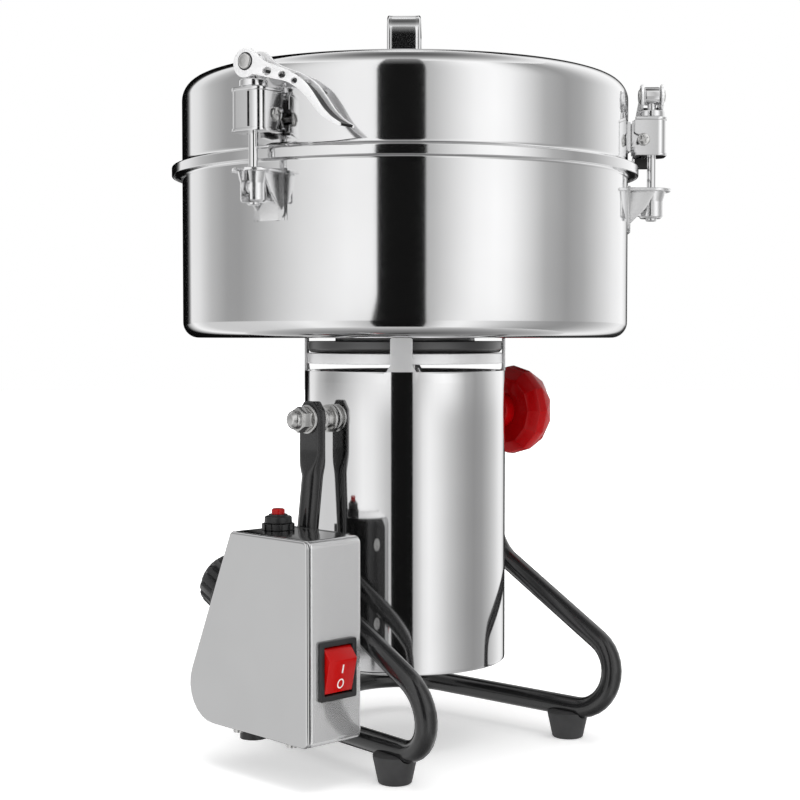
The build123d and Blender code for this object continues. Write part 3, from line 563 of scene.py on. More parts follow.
# ------------------------------------------------------------------ screw heads
def cross_head(bm, T, r, h, slot_w, slot_l, slot_d, dome=0.35, mat=0, n=48):
    """A domed head with a crossed recess; T puts its seat at z = 0 with +Z outwards."""
    head = fresh()
    turn(head, rounded([(0, 0), (r, 0, 0.15), (r * 0.97, h * (1 - dome), h * 0.5), (r * 0.45, h * 0.97, 2.0), (0, h)], 5, closed=False) , n=n, closed=False)
    bmesh.ops.remove_doubles(head, verts=head.verts, dist=1e-5)
    cuts = []
    for w, l in ((slot_w, slot_l), (slot_l, slot_w)):
        c = fresh()
        block(c, -w / 2, w / 2, -l / 2, l / 2, h - slot_d, h + 1, 0.0)
        cuts.append(c)
    head = carve(head, cuts)
    join(bm, head, mat, T)
    return bm


def modified(bm, steps):
    """bm with modifiers applied: steps is a list of (kind, {setting: value})."""
    me = bpy.data.meshes.new("scratch_m")
    bmesh.ops.recalc_face_normals(bm, faces=bm.faces)
    bm.to_mesh(me)
    bm.free()
    ob = bpy.data.objects.new("scratch_m", me)
    scene.collection.objects.link(ob)
    for kind, values in steps:
        md = ob.modifiers.new(kind, kind)
        for k, v in values.items():
            setattr(md, k, v)
    dg = bpy.context.evaluated_depsgraph_get()
    dg.update()
    res = bpy.data.meshes.new_from_object(ob.evaluated_get(dg))
    out = bmesh.new()
    out.from_mesh(res)
    bpy.data.meshes.remove(res)
    bpy.data.objects.remove(ob)
    bpy.data.meshes.remove(me)
    return out


# ------------------------------------------------------------------ lid and bowl
R_BOWL, R_LIP, Z_TOP, Z_LID, Z_BOWL = 129.5, 135.5, 385.2, 333.3, 237.4

lid_outline = rounded([
    (0, Z_TOP - 2), (R_BOWL - 2, Z_TOP - 2, 10), (R_BOWL - 2, Z_LID, 0.3), (134.3, Z_LID, 0.2), (134.3, 329.8, 0.4), (R_LIP, 329.8, 0.6), (R_LIP, 335.5, 1.0),
    (R_BOWL, 335.8, 5.0), (R_BOWL, Z_TOP, 12), (0, Z_TOP)], 12, closed=False)
bm = fresh()
turn(bm, lid_outline, 288, closed=False)
piece("lid_pan", bm, "mirror_steel", "lid", ["lid_shell"], smooth=40)

bowl_outline = rounded([
    (17, Z_BOWL), (R_BOWL, Z_BOWL, 9), (R_BOWL, 330.4, 1.8), (133.9, 330.4, 0.3), (133.9, 332.4, 0.3), (R_BOWL - 2, 332.4, 0.3),
    (R_BOWL - 2, Z_BOWL + 2.4, 7), (17, Z_BOWL + 2.4)], 12)
bm = fresh()
turn(bm, bowl_outline, 288)
piece("bowl_pan", bm, "mirror_steel", "mill", ["bowl"], smooth=40)

# ------------------------------------------------------------------ motor tube with its four tabs
R_M = 59.0
TABS = (44.0, 134.0, 224.0, 314.0)


def motor_tube():
    bm = fresh()
    marks = set()
    for i in range(240):
        marks.add(round(i * 1.5, 4))
    for c in TABS:
        marks = {m for m in marks if abs((m - c + 180) % 360 - 180) * pi / 180 * R_M > 8.9}
        for t in (-8.5, -6.25, -5.4, -3.6, -1.8, 0, 1.8, 3.6, 5.4, 6.25, 8.5):
            marks.add(round((c + t / R_M * 180 / pi) % 360, 4))
    marks = sorted(marks)
    n = len(marks)

    def vert(a, z, cache={}):
        key = (a, round(z, 3))
        if key not in cache:
            cache[key] = bm.verts.new((R_M * cos(radians(a)), R_M * sin(radians(a)), z))
        return cache[key]

    levels = [49.9, 51.5, 60, 80, 100, 120, 140, 160, 180, 200, 212, 218.4]
    for i in range(n):
        a, b = marks[i], marks[(i + 1) % n]
        for z0, z1 in zip(levels, levels[1:]):
            bm.faces.new((vert(a, z0), vert(b, z0), vert(b, z1), vert(a, z1)))
    # the tabs take the lighter copy of the tube steel: painted light
    for c in TABS:
        at = lambda t: round((c + t / R_M * 180 / pi) % 360, 4)
        bm.faces.new((vert(at(-8.5), 218.4), vert(at(-6.25), 218.4), vert(at(-6.25), 222))).material_index = 1
        bm.faces.new((vert(at(6.25), 218.4), vert(at(8.5), 218.4), vert(at(6.25), 222))).material_index = 1
        ts = (-6.25, -5.4, -3.6, -1.8, 0, 1.8, 3.6, 5.4, 6.25)
        for t0, t1 in zip(ts, ts[1:]):
            zs = [218.4, 222, 230, 236.6]
            for z0, z1 in zip(zs, zs[1:]):
                bm.faces.new((vert(at(t0), z0), vert(at(t1), z0), vert(at(t1), z1), vert(at(t0), z1))).material_index = 1
            tops = [236.6 if abs(t) > 6.2 else 237.35 for t in (t0, t1)]
            vs = [vert(at(t0), 236.6), vert(at(t1), 236.6)]
            if tops[1] > 237:
                vs.append(vert(at(t1), 237.35))
            if tops[0] > 237:
                vs.append(vert(at(t0), 237.35))
            if len(vs) > 2:
                bm.faces.new(vs).material_index = 1
    bm = modified(bm, [("SOLIDIFY", {"thickness": 1.5, "offset": -1.0, "use_even_offset": True}),
                       ("BEVEL", {"width": 0.22, "segments": 2, "limit_method": "ANGLE", "angle_limit": radians(50)})])
    turn(bm, rounded([(54.5, 49.0, 0.3), (58.9, 49.0, 0.75), (58.9, 50.6, 0.3), (57.4, 50.6), (57.4, 50.2), (54.5, 50.2, 0.3)], 5), 240)
    return bm


piece("motor_tube", motor_tube(), ["tube_steel", "tab_lit_steel"], "mill", ["motor_housing"], smooth=40)

# top of the motor: pad under the bowl and the bearing bell with ribs
bm = fresh()
turn(bm, rounded([(24.1, 229.0), (55.5, 229.0, 0.5), (57.3, 231.0, 0.6), (57.3, 235.4, 0.7), (41.0, 235.4, 0.6), (41.0, 237.3, 0.3), (24.1, 237.3)], 4), 192)
# the pad's steel is coloured near-black: painted shade under the bowl
piece("neck_pad", bm, "neck_steel", "mill", ["hub_pad"])

bm = fresh()
turn(bm, rounded([(14.05, 222.5), (57.4, 222.5, 0.5), (57.4, 228.5, 0.5), (50, 228.5, 0.8), (50, 224, 0.8), (24, 224, 0.8), (24, 235), (9, 235), (9, 231), (14.05, 231)], 4), 192)
for a in range(0, 360, 45):
    block(bm, 23, 51, -3.0, 3.0, 223.2, 227.6, 0.8, 2, phi_rot(a + 22.5))
piece("bearing_bell", bm, "rim_steel", "mill", ["end_bell"])

# vented plate at the bottom of the motor
def vented_plate():
    bm = fresh()
    slots = []
    for i in range(24):
        a = radians(i * 15)
        s = rounded([(27, -1.5, 1.4), (51, -1.5, 1.4), (51, 1.5, 1.4), (27, 1.5, 1.4)], 3)
        slots.append([(x * cos(a) - y * sin(a), x * sin(a) + y * cos(a)) for x, y in s])
    plate(bm, circle(57.35, 160), slots + [circle(8, 48)], 50.7, 53.3, 0.3, 2)
    turn(bm, rounded([(13.05, 54.5), (13.05, 66, 0.3), (19, 66, 0.8), (19, 53.2), (8, 53.2), (8, 54.5)], 3), 96)
    return bm


piece("vent_plate", vented_plate(), "black_plastic", "mill", ["bottom_cover"])

# ------------------------------------------------------------------ stand
def superellipse(hu, hv, e, n=40):
    out = []
    for i in range(n):
        a = 2 * pi * i / n
        c, s = cos(a), sin(a)
        out.append((hu * math.copysign(abs(c) ** (2 / e), c), hv * math.copysign(abs(s) ** (2 / e), s)))
    return out


def ease(t):
    t = max(0.0, min(1.0, t))
    return t * t * (3 - 2 * t)


def stand_tube():
    bm = fresh()
    mid = [(72, 0, 160), (78.5, 0, 106), (78, -156, 18.5), (61, 68, 18.5), (-61, 68, 18.5), (-78, -156, 18.5), (-78.5, 0, 106), (-72, 0, 160)]
    path = fillet3(mid, [25, 22, 38, 38, 22, 25], 14)
    path = densify(path, 14.0)
    lug_zs = [163, 166, 169, 172, 175, 179, 184, 190, 196, 197.4, 198.9, 200.3, 201.3, 201.85, 202.0]
    head = [Vector((72, 0, z)) for z in reversed(lug_zs)]
    tail = [Vector((-72, 0, z)) for z in lug_zs]
    full = head + path + tail
    zs = [p.z for p in full]
    lugs = len(lug_zs)

    def shape(z):
        w = ease((z - 160.0) / 14.0)
        hy = 6.0 + (8.25 - 6.0) * w
        hx = 6.0 + (3.0 - 6.0) * w
        if z > 196.8:
            hy = 8.25 - (z - 196.8) * 0.82
        if z > 201.2:
            k = (z - 201.2) / 0.8
            hx = 3.0 - 0.75 * k * k
        return hy, hx, 2.0 + 7.0 * w

    # carried as given, so that the flat of each lug faces the mill
    tans = [(full[min(i + 1, len(full) - 1)] - full[max(i - 1, 0)]).normalized() for i in range(len(full))]
    u = Vector((0, 1, 0))
    rings = []
    for i, p in enumerate(full):
        if i:
            u = tans[i - 1].rotation_difference(tans[i]) @ u
        t = tans[i]
        if i < lugs or i >= len(full) - lugs:
            t = Vector((0, 0, -1 if i < lugs else 1))
            uu = Vector((0, 1, 0))
        else:
            uu = (u - t * u.dot(t)).normalized()
        vv = t.cross(uu)
        hy, hx, e = shape(p.z) if (i < lugs or i >= len(full) - lugs) else (6.0, 6.0, 2.0)
        rings.append([bm.verts.new(p + uu * a + vv * b) for a, b in superellipse(hy, hx, e)])
    # a ring joins the nearest turn of the next one, since the frame may have rolled along the bends
    for A, B in zip(rings, rings[1:]):
        m = len(A)
        k = min(range(m), key=lambda s: sum((A[i].co - B[(i + s) % m].co).length for i in range(0, m, 5)))
        for i in range(m):
            bm.faces.new((A[i], A[(i + 1) % m], B[(i + 1 + k) % m], B[(i + k) % m]))
    bm.faces.new(rings[0])
    bm.faces.new(rings[-1])
    return bm


piece("bent_stand", stand_tube(), "black_enamel", "stand", ["stand_frame"], smooth=50)

FOOT_X = 78 - 17 * (156 - 66) / 224.0


def feet():
    bm = fresh()
    for fx, fy, d in ((FOOT_X, -66.0, Vector((-17, 224, 0))), (-FOOT_X, -66.0, Vector((17, 224, 0))), (0.0, 68.0, Vector((1, 0, 0)))):
        f = fresh()
        turn(f, rounded([(5.6, 4.0), (5.6, 0.0, 0.4), (9.0, 0.0, 1.0), (12.0, 14.0, 0.5), (12.0, 15.4, 0.6), (9.0, 16.6, 1.5), (2.7, 16.6), (2.7, 4.0)], 5), 72)
        bmesh.ops.remove_doubles(f, verts=f.verts, dist=1e-5)
        c = fresh()
        turn(c, [(0, -30), (6.06, -30), (6.06, 30), (0, 30)], 64, closed=False, T=along((0, 0, 18.5), d))
        f = carve(f, [c])
        join(bm, f, 0, Matrix.Translation((fx, fy, 0)))
    return bm


piece("rubber_feet_set", feet(), "black_rubber", "stand", ["rubber_feet"])

# ------------------------------------------------------------------ control box
SL = 38.0 / 85.0


def box_loop(off, seg=8, front_r=4.0):
    """Outline of the box in (Y, Z), moved in by off."""
    k = off
    top, bot, front = 133 - k, 25 + k, -57 + k
    y_at = lambda z: 7 + (133 - z) * SL - k / 0.9129
    return rounded([(front, bot, max(0.6, front_r - k)), (y_at(bot), bot, 20 - k), (y_at(top), top, max(0.6, 3 - k)), (front, top, max(0.6, front_r - k))], seg)


def yz_frame(x):
    """2D (a, b) goes to (Y, Z) at X = x, extruding along +X."""
    return Matrix(((0, 0, 1, x), (1, 0, 0, 0), (0, 1, 0, 0), (0, 0, 0, 1)))


def skirt(bm, layers, cap_first=True, cap_last=False, inner=None, mat=0):
    """Joins outline layers (x, loop) into a skin; layers share their number of points."""
    rings = [[bm.verts.new((x, y, z)) for y, z in loop] for x, loop in layers]
    m = len(rings[0])
    for A, B in zip(rings, rings[1:]):
        for i in range(m):
            bm.faces.new((A[i], A[(i + 1) % m], B[(i + 1) % m], B[i])).material_index = mat
    if cap_first:
        bm.faces.new(rings[0]).material_index = mat
    if cap_last:
        bm.faces.new(rings[-1]).material_index = mat
    return rings


def shell_piece():
    """Folded tray: back plate at X = -87.1, walls forward, its free edge turned in by a small radius."""
    bm = fresh()
    rb, rf = 1.6, 1.35
    lay = []
    for k in range(7):                                       # back bend
        a = pi / 2 * k / 6
        lay.append((-87.1 - rb * (1 - cos(a)) , box_loop(rb * (1 - sin(a)))))
    for x in (-100.0, -112.0):
        lay.append((x, box_loop(0)))
    for k in range(7):                                       # rolled free edge
        a = pi / 2 * k / 6
        lay.append((-122.5 + rf * (1 - sin(a)), box_loop(rf * (1 - cos(a)))))
    lay.append((-121.7, box_loop(1.5)))
    lay.append((-100.0, box_loop(1.5)))
    lay.append((-88.6, box_loop(1.5)))
    skirt(bm, lay, cap_first=True, cap_last=True)
    return bm


def cover_piece():
    bm = fresh()
    r = 1.35
    lay = []
    for k in range(8):
        a = pi / 2 * k / 7
        lay.append((-125.0 + r * (1 - cos(a)), box_loop(r * (1 - sin(a)))))
    lay.append((-123.52, box_loop(0.02)))
    lay.append((-123.52, box_loop(1.7)))
    lay.append((-119.6, box_loop(1.7)))
    lay.append((-119.6, box_loop(2.9)))
    lay.append((-123.4, box_loop(2.9)))
    skirt(bm, lay, cap_first=True, cap_last=True)
    # the lip that goes into the tray, seen down the seam, takes black enamel: painted shade in the gap
    for f in bm.faces:
        if f.calc_center_median().x > -123.45:
            f.material_index = 1
    return bm


def with_openings():
    """Openings in the tray for the switch, breaker, timer shaft and gland."""
    bm = shell_piece()
    cuts = []
    c = fresh()
    block(c, -105 - 11.2, -105 + 11.2, -62, -52, 64.5 - 14.2, 64.5 + 14.2, 0)
    cuts.append(c)
    c = fresh()
    turn(c, [(0, 126), (6.1, 126), (6.1, 140), (0, 140)], 48, closed=False, T=Matrix.Translation((-101, -5, 0)))
    cuts.append(c)
    kc = Vector((-106, 7 + (133 - 96) * SL, 96))
    c = fresh()
    turn(c, [(0, -5), (5.1, -5), (5.1, 5), (0, 5)], 48, closed=False, T=along(kc, (0, 0.9129, 0.4081)))
    cuts.append(c)
    c = fresh()
    turn(c, [(0, 20), (7.5, 20), (7.5, 30), (0, 30)], 48, closed=False, T=Matrix.Translation((-98.5, 20, 0)))
    cuts.append(c)
    bm = carve(bm, cuts)
    bm.normal_update()
    # faces turned to the front take the lighter copy of the box steel, the rest the box steel: painted light on the
    # front of one sheet
    for f in bm.faces:
        f.material_index = 0 if f.normal.y < -0.75 else 1
    return bm


piece("box_tray", with_openings(), ["front_lit_steel", "box_steel"], "stand", ["box_shell"], smooth=25)
piece("box_lid", cover_piece(), ["box_steel", "black_enamel"], "stand", ["box_side_cover"], smooth=25)


# ------------------------------------------------------------------ latches
LATCH_PHI = (193.3, 313.3, 73.3)
R_ROD, Z_BALL, Z_CAM = 143.6, 314.5, 377.6
PIN_U, PIN_Z, PIN_R = 138.1, 351.5, 1.75


def smooth_line(pts, k=4):
    """Points along a Catmull-Rom curve through pts."""
    P = [Vector(p) for p in pts]
    P = [2 * P[0] - P[1]] + P + [2 * P[-1] - P[-2]]
    out = []
    for i in range(1, len(P) - 2):
        a, b, c, d = P[i - 1], P[i], P[i + 1], P[i + 2]
        for j in range(k):
            t = j / k
            out.append(0.5 * ((2 * b) + (c - a) * t + (2 * a - 5 * b + 4 * c - d) * t * t + (3 * b - 3 * c + d - a) * t * t * t))
    out.append(P[-2])
    return [tuple(p) for p in out]


def arc2(cx, cy, r, a0, a1, n):
    return [(cx + r * cos(radians(a0 + (a1 - a0) * i / n)), cy + r * sin(radians(a0 + (a1 - a0) * i / n))) for i in range(n + 1)]


def stack(bm, layers, mat=0):
    """A solid from closed outlines of equal length at rising heights: layers is a list of (z, loop)."""
    rings = [[bm.verts.new((a, b, z)) for a, b in loop] for z, loop in layers]
    m = len(rings[0])
    for A, B in zip(rings, rings[1:]):
        for i in range(m):
            bm.faces.new((A[i], A[(i + 1) % m], B[(i + 1) % m], B[i])).material_index = mat
    bm.faces.new(list(reversed(rings[0]))).material_index = mat
    bm.faces.new(rings[-1]).material_index = mat
    return bm


def sleeve_loop(grow):
    u1, h, r = 151.2 + grow, 10.2 + grow, 5.2 + grow
    u0 = 132.6 + (0.8 if grow > 0.05 else 0.0)
    return rounded([(u0, -h, 0.5), (u1, -h, r), (u1, h, r), (u0, h, 0.5)], 9)


def latch_sleeve():
    bm = fresh()
    stack(bm, [(342.4, sleeve_loop(0.3)), (342.55, sleeve_loop(0.5)), (342.8, sleeve_loop(0.58)), (343.6, sleeve_loop(0.58)), (343.95, sleeve_loop(0.45)), (344.1, sleeve_loop(0.08)), (344.15, sleeve_loop(0.0)),
               (362.8, sleeve_loop(0.0)), (362.9, sleeve_loop(0.08)), (363.05, sleeve_loop(0.45)), (363.4, sleeve_loop(0.58)), (364.2, sleeve_loop(0.58)), (364.45, sleeve_loop(0.5)), (364.6, sleeve_loop(0.3))])
    cuts = []
    c = fresh()
    block(c, 128, 140.7, -7.3, 7.3, 338, 368, 0)
    cuts.append(c)
    rr = PIN_R + 0.08
    nx, nz = sin(radians(24.0)), cos(radians(24.0))
    up = (PIN_U + rr * nx, PIN_Z + rr * nz)
    inn = (up[0] - 12 * nz, up[1] + 12 * nx)
    out = arc2(PIN_U, PIN_Z, rr, -90, 90 - 24, 12) + [inn, (inn[0], PIN_Z - rr - 4.0)]
    for y0, y1 in ((-14, -6.9), (6.9, 14)):
        c = fresh()
        prism(c, out, y0, y1, 0, T=Matrix(((1, 0, 0, 0), (0, 0, 1, 0), (0, 1, 0, 0), (0, 0, 0, 1))))
        cuts.append(c)
    c = fresh()
    turn(c, [(0, 338), (2.7, 338), (2.7, 368), (0, 368)], 40, closed=False, T=Matrix.Translation((R_ROD, 0, 0)))
    cuts.append(c)
    c = fresh()                                     # the seam where the sleeve is folded shut
    block(c, 150.3, 153, 2.1, 3.9, 344.6, 362.4, 0)
    cuts.append(c)
    bm = carve(bm, cuts)
    turn(bm, rounded([(2.7, 364.3), (6.7, 364.3), (6.7, 365.3, 0.25), (7.4, 365.3, 0.5), (7.4, 369.0, 0.9), (2.7, 369.0)], 5), 72, T=Matrix.Translation((R_ROD, 0, 0)))
    return bm


def latch_rod():
    bm = fresh()
    ball = [(4.5 * cos(radians(a)), Z_BALL + 4.5 * sin(radians(a))) for a in range(-90, 57, 7)]
    ball[0] = (0, Z_BALL - 4.5)
    turn(bm, ball + [(2.5, Z_BALL + 3.75), (2.5, 373.4), (0, 373.4)], 40, closed=False, T=Matrix.Translation((R_ROD, 0, 0)))
    turn(bm, rounded([(0, -6.05), (2.0, -6.05, 0.4), (2.0, 6.05, 0.4), (0, 6.05)], 3, closed=False), 28, closed=False, T=along((R_ROD, 0, Z_BALL), (0, 1, 0)))
    turn(bm, rounded([(2.05, -4.4, 0.2), (5.2, -4.4, 0.6), (5.2, 4.4, 0.6), (2.05, 4.4, 0.2)], 4), 56, T=along((R_ROD, 0, Z_CAM), (1, 0, 0)))
    return bm


TOPE = [(3.0, 383.9), (6.4, 381.6), (8.9, 379.0), (12.7, 376.4), (19.0, 373.8), (25.2, 371.5), (31.4, 368.2), (36.3, 364.8), (40.0, 360.8), (43.6, 356.2), (47.2, 351.4), (51.4, 347.2), (55.0, 344.6), (58.3, 342.6)]
LOWE = [(57.9, 341.2), (55.0, 342.3), (49.6, 345.3), (44.8, 348.9), (41.2, 353.0), (37.5, 357.2), (31.4, 362.1), (25.2, 365.4), (17.7, 367.4), (11.4, 369.0), (7.6, 370.2)]
WTOP = [(12.0, 372.6), (19.0, 370.6), (25.2, 368.4), (31.0, 365.6), (35.2, 362.2), (38.8, 358.4), (42.3, 354.0), (45.8, 350.2), (49.9, 346.9), (54.5, 344.2), (58.3, 342.55)]
WLOW = [(57.9, 341.25), (54.2, 342.8), (49.2, 345.7), (44.9, 349.2), (41.3, 353.1), (37.7, 357.4), (34.0, 361.1), (30.1, 364.3), (24.8, 366.9), (18.6, 369.0), (12.0, 370.9)]


def latch_lever():
    bm = fresh()
    outline = smooth_line(TOPE, 5) + arc2(57.6, 341.9, 0.75, 60, -60, 4)[1:-1] + smooth_line(LOWE, 5) + arc2(-0.3, Z_CAM - 0.8, 7.4, -54, -288, 44)
    holes = [circle(2.05, 32)] + [[(y + r * cos(a) * 1.25, z + r * sin(a) * 0.95) for a in [2 * pi * i / 24 for i in range(24)]] for y, z, r in ((13.6, 371.5, 2.2), (23.0, 368.9, 1.85), (30.6, 365.3, 1.55))]
    holes[0] = [(a, b + Z_CAM) for a, b in holes[0]]
    plate(bm, outline, holes, -0.75, 0.75, 0.3, 3, yz_frame(R_ROD + 5.75))
    plate(bm, outline, holes, -0.75, 0.75, 0.3, 3, yz_frame(R_ROD - 5.75))
    # the channel-side face of the inboard cheek and the web between the cheeks take near-black steel: painted shade
    # inside the channel
    for f in bm.faces:
        c = f.calc_center_median()
        if c.x < R_ROD and f.normal.x > 0.7:
            f.material_index = 1
    web = smooth_line(WTOP, 4) + smooth_line(WLOW, 4)
    prism(bm, web, -5.2, 5.2, 0, T=yz_frame(R_ROD), mat=1)
    return bm


def latch_pin():
    bm = fresh()
    for s in (1, -1):
        T = along((R_ROD + s * 6.45, 0, Z_CAM), (s, 0, 0))
        turn(bm, rounded([(0, 0.0), (4.6, 0.0), (4.6, 0.25, 0.1), (4.1, 0.25), (0, 0.25)], 2, closed=False), 48, closed=False, T=T, mat=1)
        turn(bm, rounded([(0, 0.1), (3.9, 0.1), (3.9, 0.75, 0.5), (3.1, 1.25, 0.8), (1.4, 1.5, 1.2), (0, 1.53)], 4, closed=False), 48, closed=False, T=T)
    turn(bm, [(0, -6.4), (2.0, -6.4), (2.0, 6.4), (0, 6.4)], 32, closed=False, T=along((R_ROD, 0, Z_CAM), (1, 0, 0)))
    return bm


def latch_seat():
    bm = fresh()
    ear = rounded([(129.6, 346, 0.5), (137.5, 346, 1.0), (140.2, 348.5, 1.0), (140.2, 357, 1.2), (136.5, 361, 1.2), (129.6, 361, 0.5)], 4)
    F = Matrix(((1, 0, 0, 0), (0, 0, 1, 0), (0, 1, 0, 0), (0, 0, 0, 1)))
    for y0, y1 in ((5.4, 6.9), (-6.9, -5.4)):
        plate(bm, ear, [[(PIN_U + a, PIN_Z + b) for a, b in circle(PIN_R + 0.03, 24)]], y0, y1, 0.25, 2, F)
    base = fresh()
    turn(base, rounded([(129.55, 345, 0.4), (131.0, 345, 0.5), (131.0, 362, 0.5), (129.55, 362, 0.4)], 3), 8, T=Matrix.Identity(4), a0=-3.05, a1=3.05)
    bmesh.ops.holes_fill(base, edges=[e for e in base.edges if e.is_boundary], sides=0)
    join(bm, base, 0)
    return bm


def seat_screws():
    bm = fresh()
    turn(bm, [(0, -10.6), (PIN_R, -10.6), (PIN_R, 10.6), (0, 10.6)], 32, closed=False, T=along((PIN_U, 0, PIN_Z), (0, 1, 0)))
    for s in (1, -1):
        T = along((PIN_U, s * 10.42, PIN_Z), (0, s, 0)) @ Matrix.Rotation(radians(24), 4, "Z")
        cross_head(bm, T, 3.7, 1.95, 0.95, 4.8, 0.8)
    return bm


def latch_keeper():
    body = fresh()
    turn(body, rounded([(0, 305.2), (3.2, 305.2, 1.0), (3.2, 306.7, 0.2), (6.3, 306.7, 0.5), (7.0, 307.8, 0.5), (7.0, 316.5, 4.0), (8.6, 322.3), (0, 322.3)], 5, closed=False), 72, closed=False, T=Matrix.Translation((R_ROD, 0, 0)))
    cuts = []
    c = fresh()
    turn(c, [(0, Z_BALL - 4.62)] + [(4.62 * cos(radians(a)), Z_BALL + 4.62 * sin(radians(a))) for a in range(-80, 85, 10)] + [(0, Z_BALL + 4.62)], 40, closed=False, T=Matrix.Translation((R_ROD, 0, 0)))
    cuts.append(c)
    c = fresh()
    turn(c, [(0, Z_BALL), (2.8, Z_BALL), (2.8, 331), (0, 331)], 40, closed=False, T=Matrix.Translation((R_ROD, 0, 0)))
    cuts.append(c)
    c = fresh()
    block(c, R_ROD, R_ROD + 20, -2.8, 2.8, 306.6, 331, 0)
    cuts.append(c)
    bm = carve(body, cuts)
    a = math.degrees(math.asin(2.8 / 11.5))
    outline = [(130.4, -11.5)] + arc2(R_ROD, 0, 11.5, -90, -a, 20) + arc2(R_ROD, 0, 2.8, -90, -270, 14) + arc2(R_ROD, 0, 11.5, a, 90, 20) + [(130.4, 11.5)]
    plate(bm, outline, [], 322.0, 323.9, 0.55, 3)
    back = fresh()
    turn(back, rounded([(129.6, 298, 0.4), (131.1, 298, 0.5), (131.1, 325, 0.5), (129.6, 325, 0.4)], 3), 14, a0=-4.3, a1=4.3)
    bmesh.ops.holes_fill(back, edges=[e for e in back.edges if e.is_boundary], sides=0)
    F = Matrix(((1, 0, 0, 0), (0, 0, 1, 0), (0, 1, 0, 0), (0, 0, 0, 1)))
    corners = []
    for s in (1, -1):
        c = fresh()
        # rounds the lower corners of the back plate
        pts = [(4.9, 0.1), (4.9, 5.2)] + arc2(0, 5.1, 4.9, 0, -90, 8)[1:] + [(0.0, -0.4), (5.4, -0.4), (5.4, 5.2)]
        pts = [(s * (4.9 + a), 298.0 + b) for a, b in pts]
        prism(c, pts, 125, 135, 0, T=Matrix(((0, 0, 1, 0), (1, 0, 0, 0), (0, 1, 0, 0), (0, 0, 0, 1))))
        corners.append(c)
    back = carve(back, corners)
    join(bm, back, 0)
    g = rounded([(130.6, 322.3), (145.4, 322.3), (139.8, 312.2, 1.5), (130.6, 303.2)], 4)
    for y0, y1 in ((6.8, 8.4), (-8.4, -6.8)):
        plate(bm, g, [], y0, y1, 0.3, 2, F)
    block(bm, 130.6, 138.2, -3, 3, 308, 316, 0.4)
    return bm


parts = [("latch_sleeve", latch_sleeve(), ["sleeve_steel"], "latch", "latch_barrel", "mirror_steel"),
         ("latch_bolt", latch_rod(), ["tube_steel"], "latch", "latch_rod", "mirror_steel"),
         ("latch_arm", latch_lever(), ["lever_steel", "channel_shade_steel"], "lever", "latch_lever", "mirror_steel"),
         ("latch_pivot", latch_pin(), ["zinc_steel", "black_plastic"], "lever", "latch_pin", "zinc_steel")]
for k, phi in enumerate(LATCH_PHI, 1):
    for name, bm, mats, body, node, slot in parts:
        piece("%s_%d" % (name, k), spun(bm, phi_rot(phi)), mats, "%s_%d" % (body, k), ["%s_%d" % (node, k)])
for part in parts:
    part[1].free()
for name, bm, mats, body, node, slot in (("lid_seats", latch_seat(), ["sleeve_steel"], "lid", "latch_seats", "mirror_steel"),
                                         ("lid_seat_screws", seat_screws(), ["zinc_steel"], "lid", "seat_pins", "zinc_steel"),
                                         ("bowl_keepers", latch_keeper(), ["keeper_steel"], "mill", "latch_keepers", "mirror_steel")):
    out = fresh()
    for phi in LATCH_PHI:
        join(out, spun(bm, phi_rot(phi)))
    bm.free()
    piece(name, out, mats, body, [node])


# ------------------------------------------------------------------ strap handle and its screws
Z_FOOT, Z_GRIP = 386.5, 418.8
R45 = Matrix.Rotation(radians(45), 4, "Z")


def strap_section(half, thick=1.25, web=0.95):
    """A flat strap rolled over at both edges, half its width to each side."""
    pts = []
    for k in range(9):
        a = radians(-120 + 240 * k / 8)
        pts.append((thick * sin(a), half - thick + thick * cos(a)))
    pts += [(web, half - 3.4), (web, 0.0), (web, -half + 3.4)]
    for k in range(9):
        a = radians(60 + 240 * k / 8)
        pts.append((thick * sin(a), -half + thick + thick * cos(a)))
    pts += [(-web, -half + 3.4), (-web, 0.0), (-web, half - 3.4)]
    return pts


def strap_handle():
    corners = [(-54.5, 0, Z_FOOT), (-40, 0, Z_FOOT), (-38.5, 0, Z_GRIP), (38.5, 0, Z_GRIP), (40, 0, Z_FOOT), (54.5, 0, Z_FOOT)]
    path = densify(fillet3(corners, [4, 12, 12, 4], 14), 2.2)
    fine = [path[0]]
    for q in (0.15, 0.4, 0.8, 1.4, 2.2, 3.2, 4.5):
        fine.append(path[0] + Vector((q, 0, 0)))
    fine += [p for p in path[1:-1] if abs(p.x) < 49.6]
    for q in (4.5, 3.2, 2.2, 1.4, 0.8, 0.4, 0.15):
        fine.append(path[-1] - Vector((q, 0, 0)))
    fine.append(path[-1])
    total = sum((b - a).length for a, b in zip(fine, fine[1:]))

    def section(f):
        e = min(f, 1 - f) * total
        half = 9.45 if e >= 4.6 else 9.45 - (4.6 - sqrt(max(0.0, 4.6 ** 2 - (4.6 - e) ** 2)))
        return strap_section(max(half, 4.85))

    bm = fresh()
    sweep(bm, fine, section, up=(0, 0, 1))
    cuts = []
    for s in (1, -1):
        c = fresh()
        turn(c, [(0, 380), (2.35, 380), (2.35, 395), (0, 395)], 32, closed=False, T=Matrix.Translation((s * 48.6, 0, 0)))
        cuts.append(c)
    bm = carve(bm, cuts)
    bm.transform(R45)
    return bm


piece("strap_handle", strap_handle(), "strap_steel", "lid", ["lid_handle"], smooth=40)

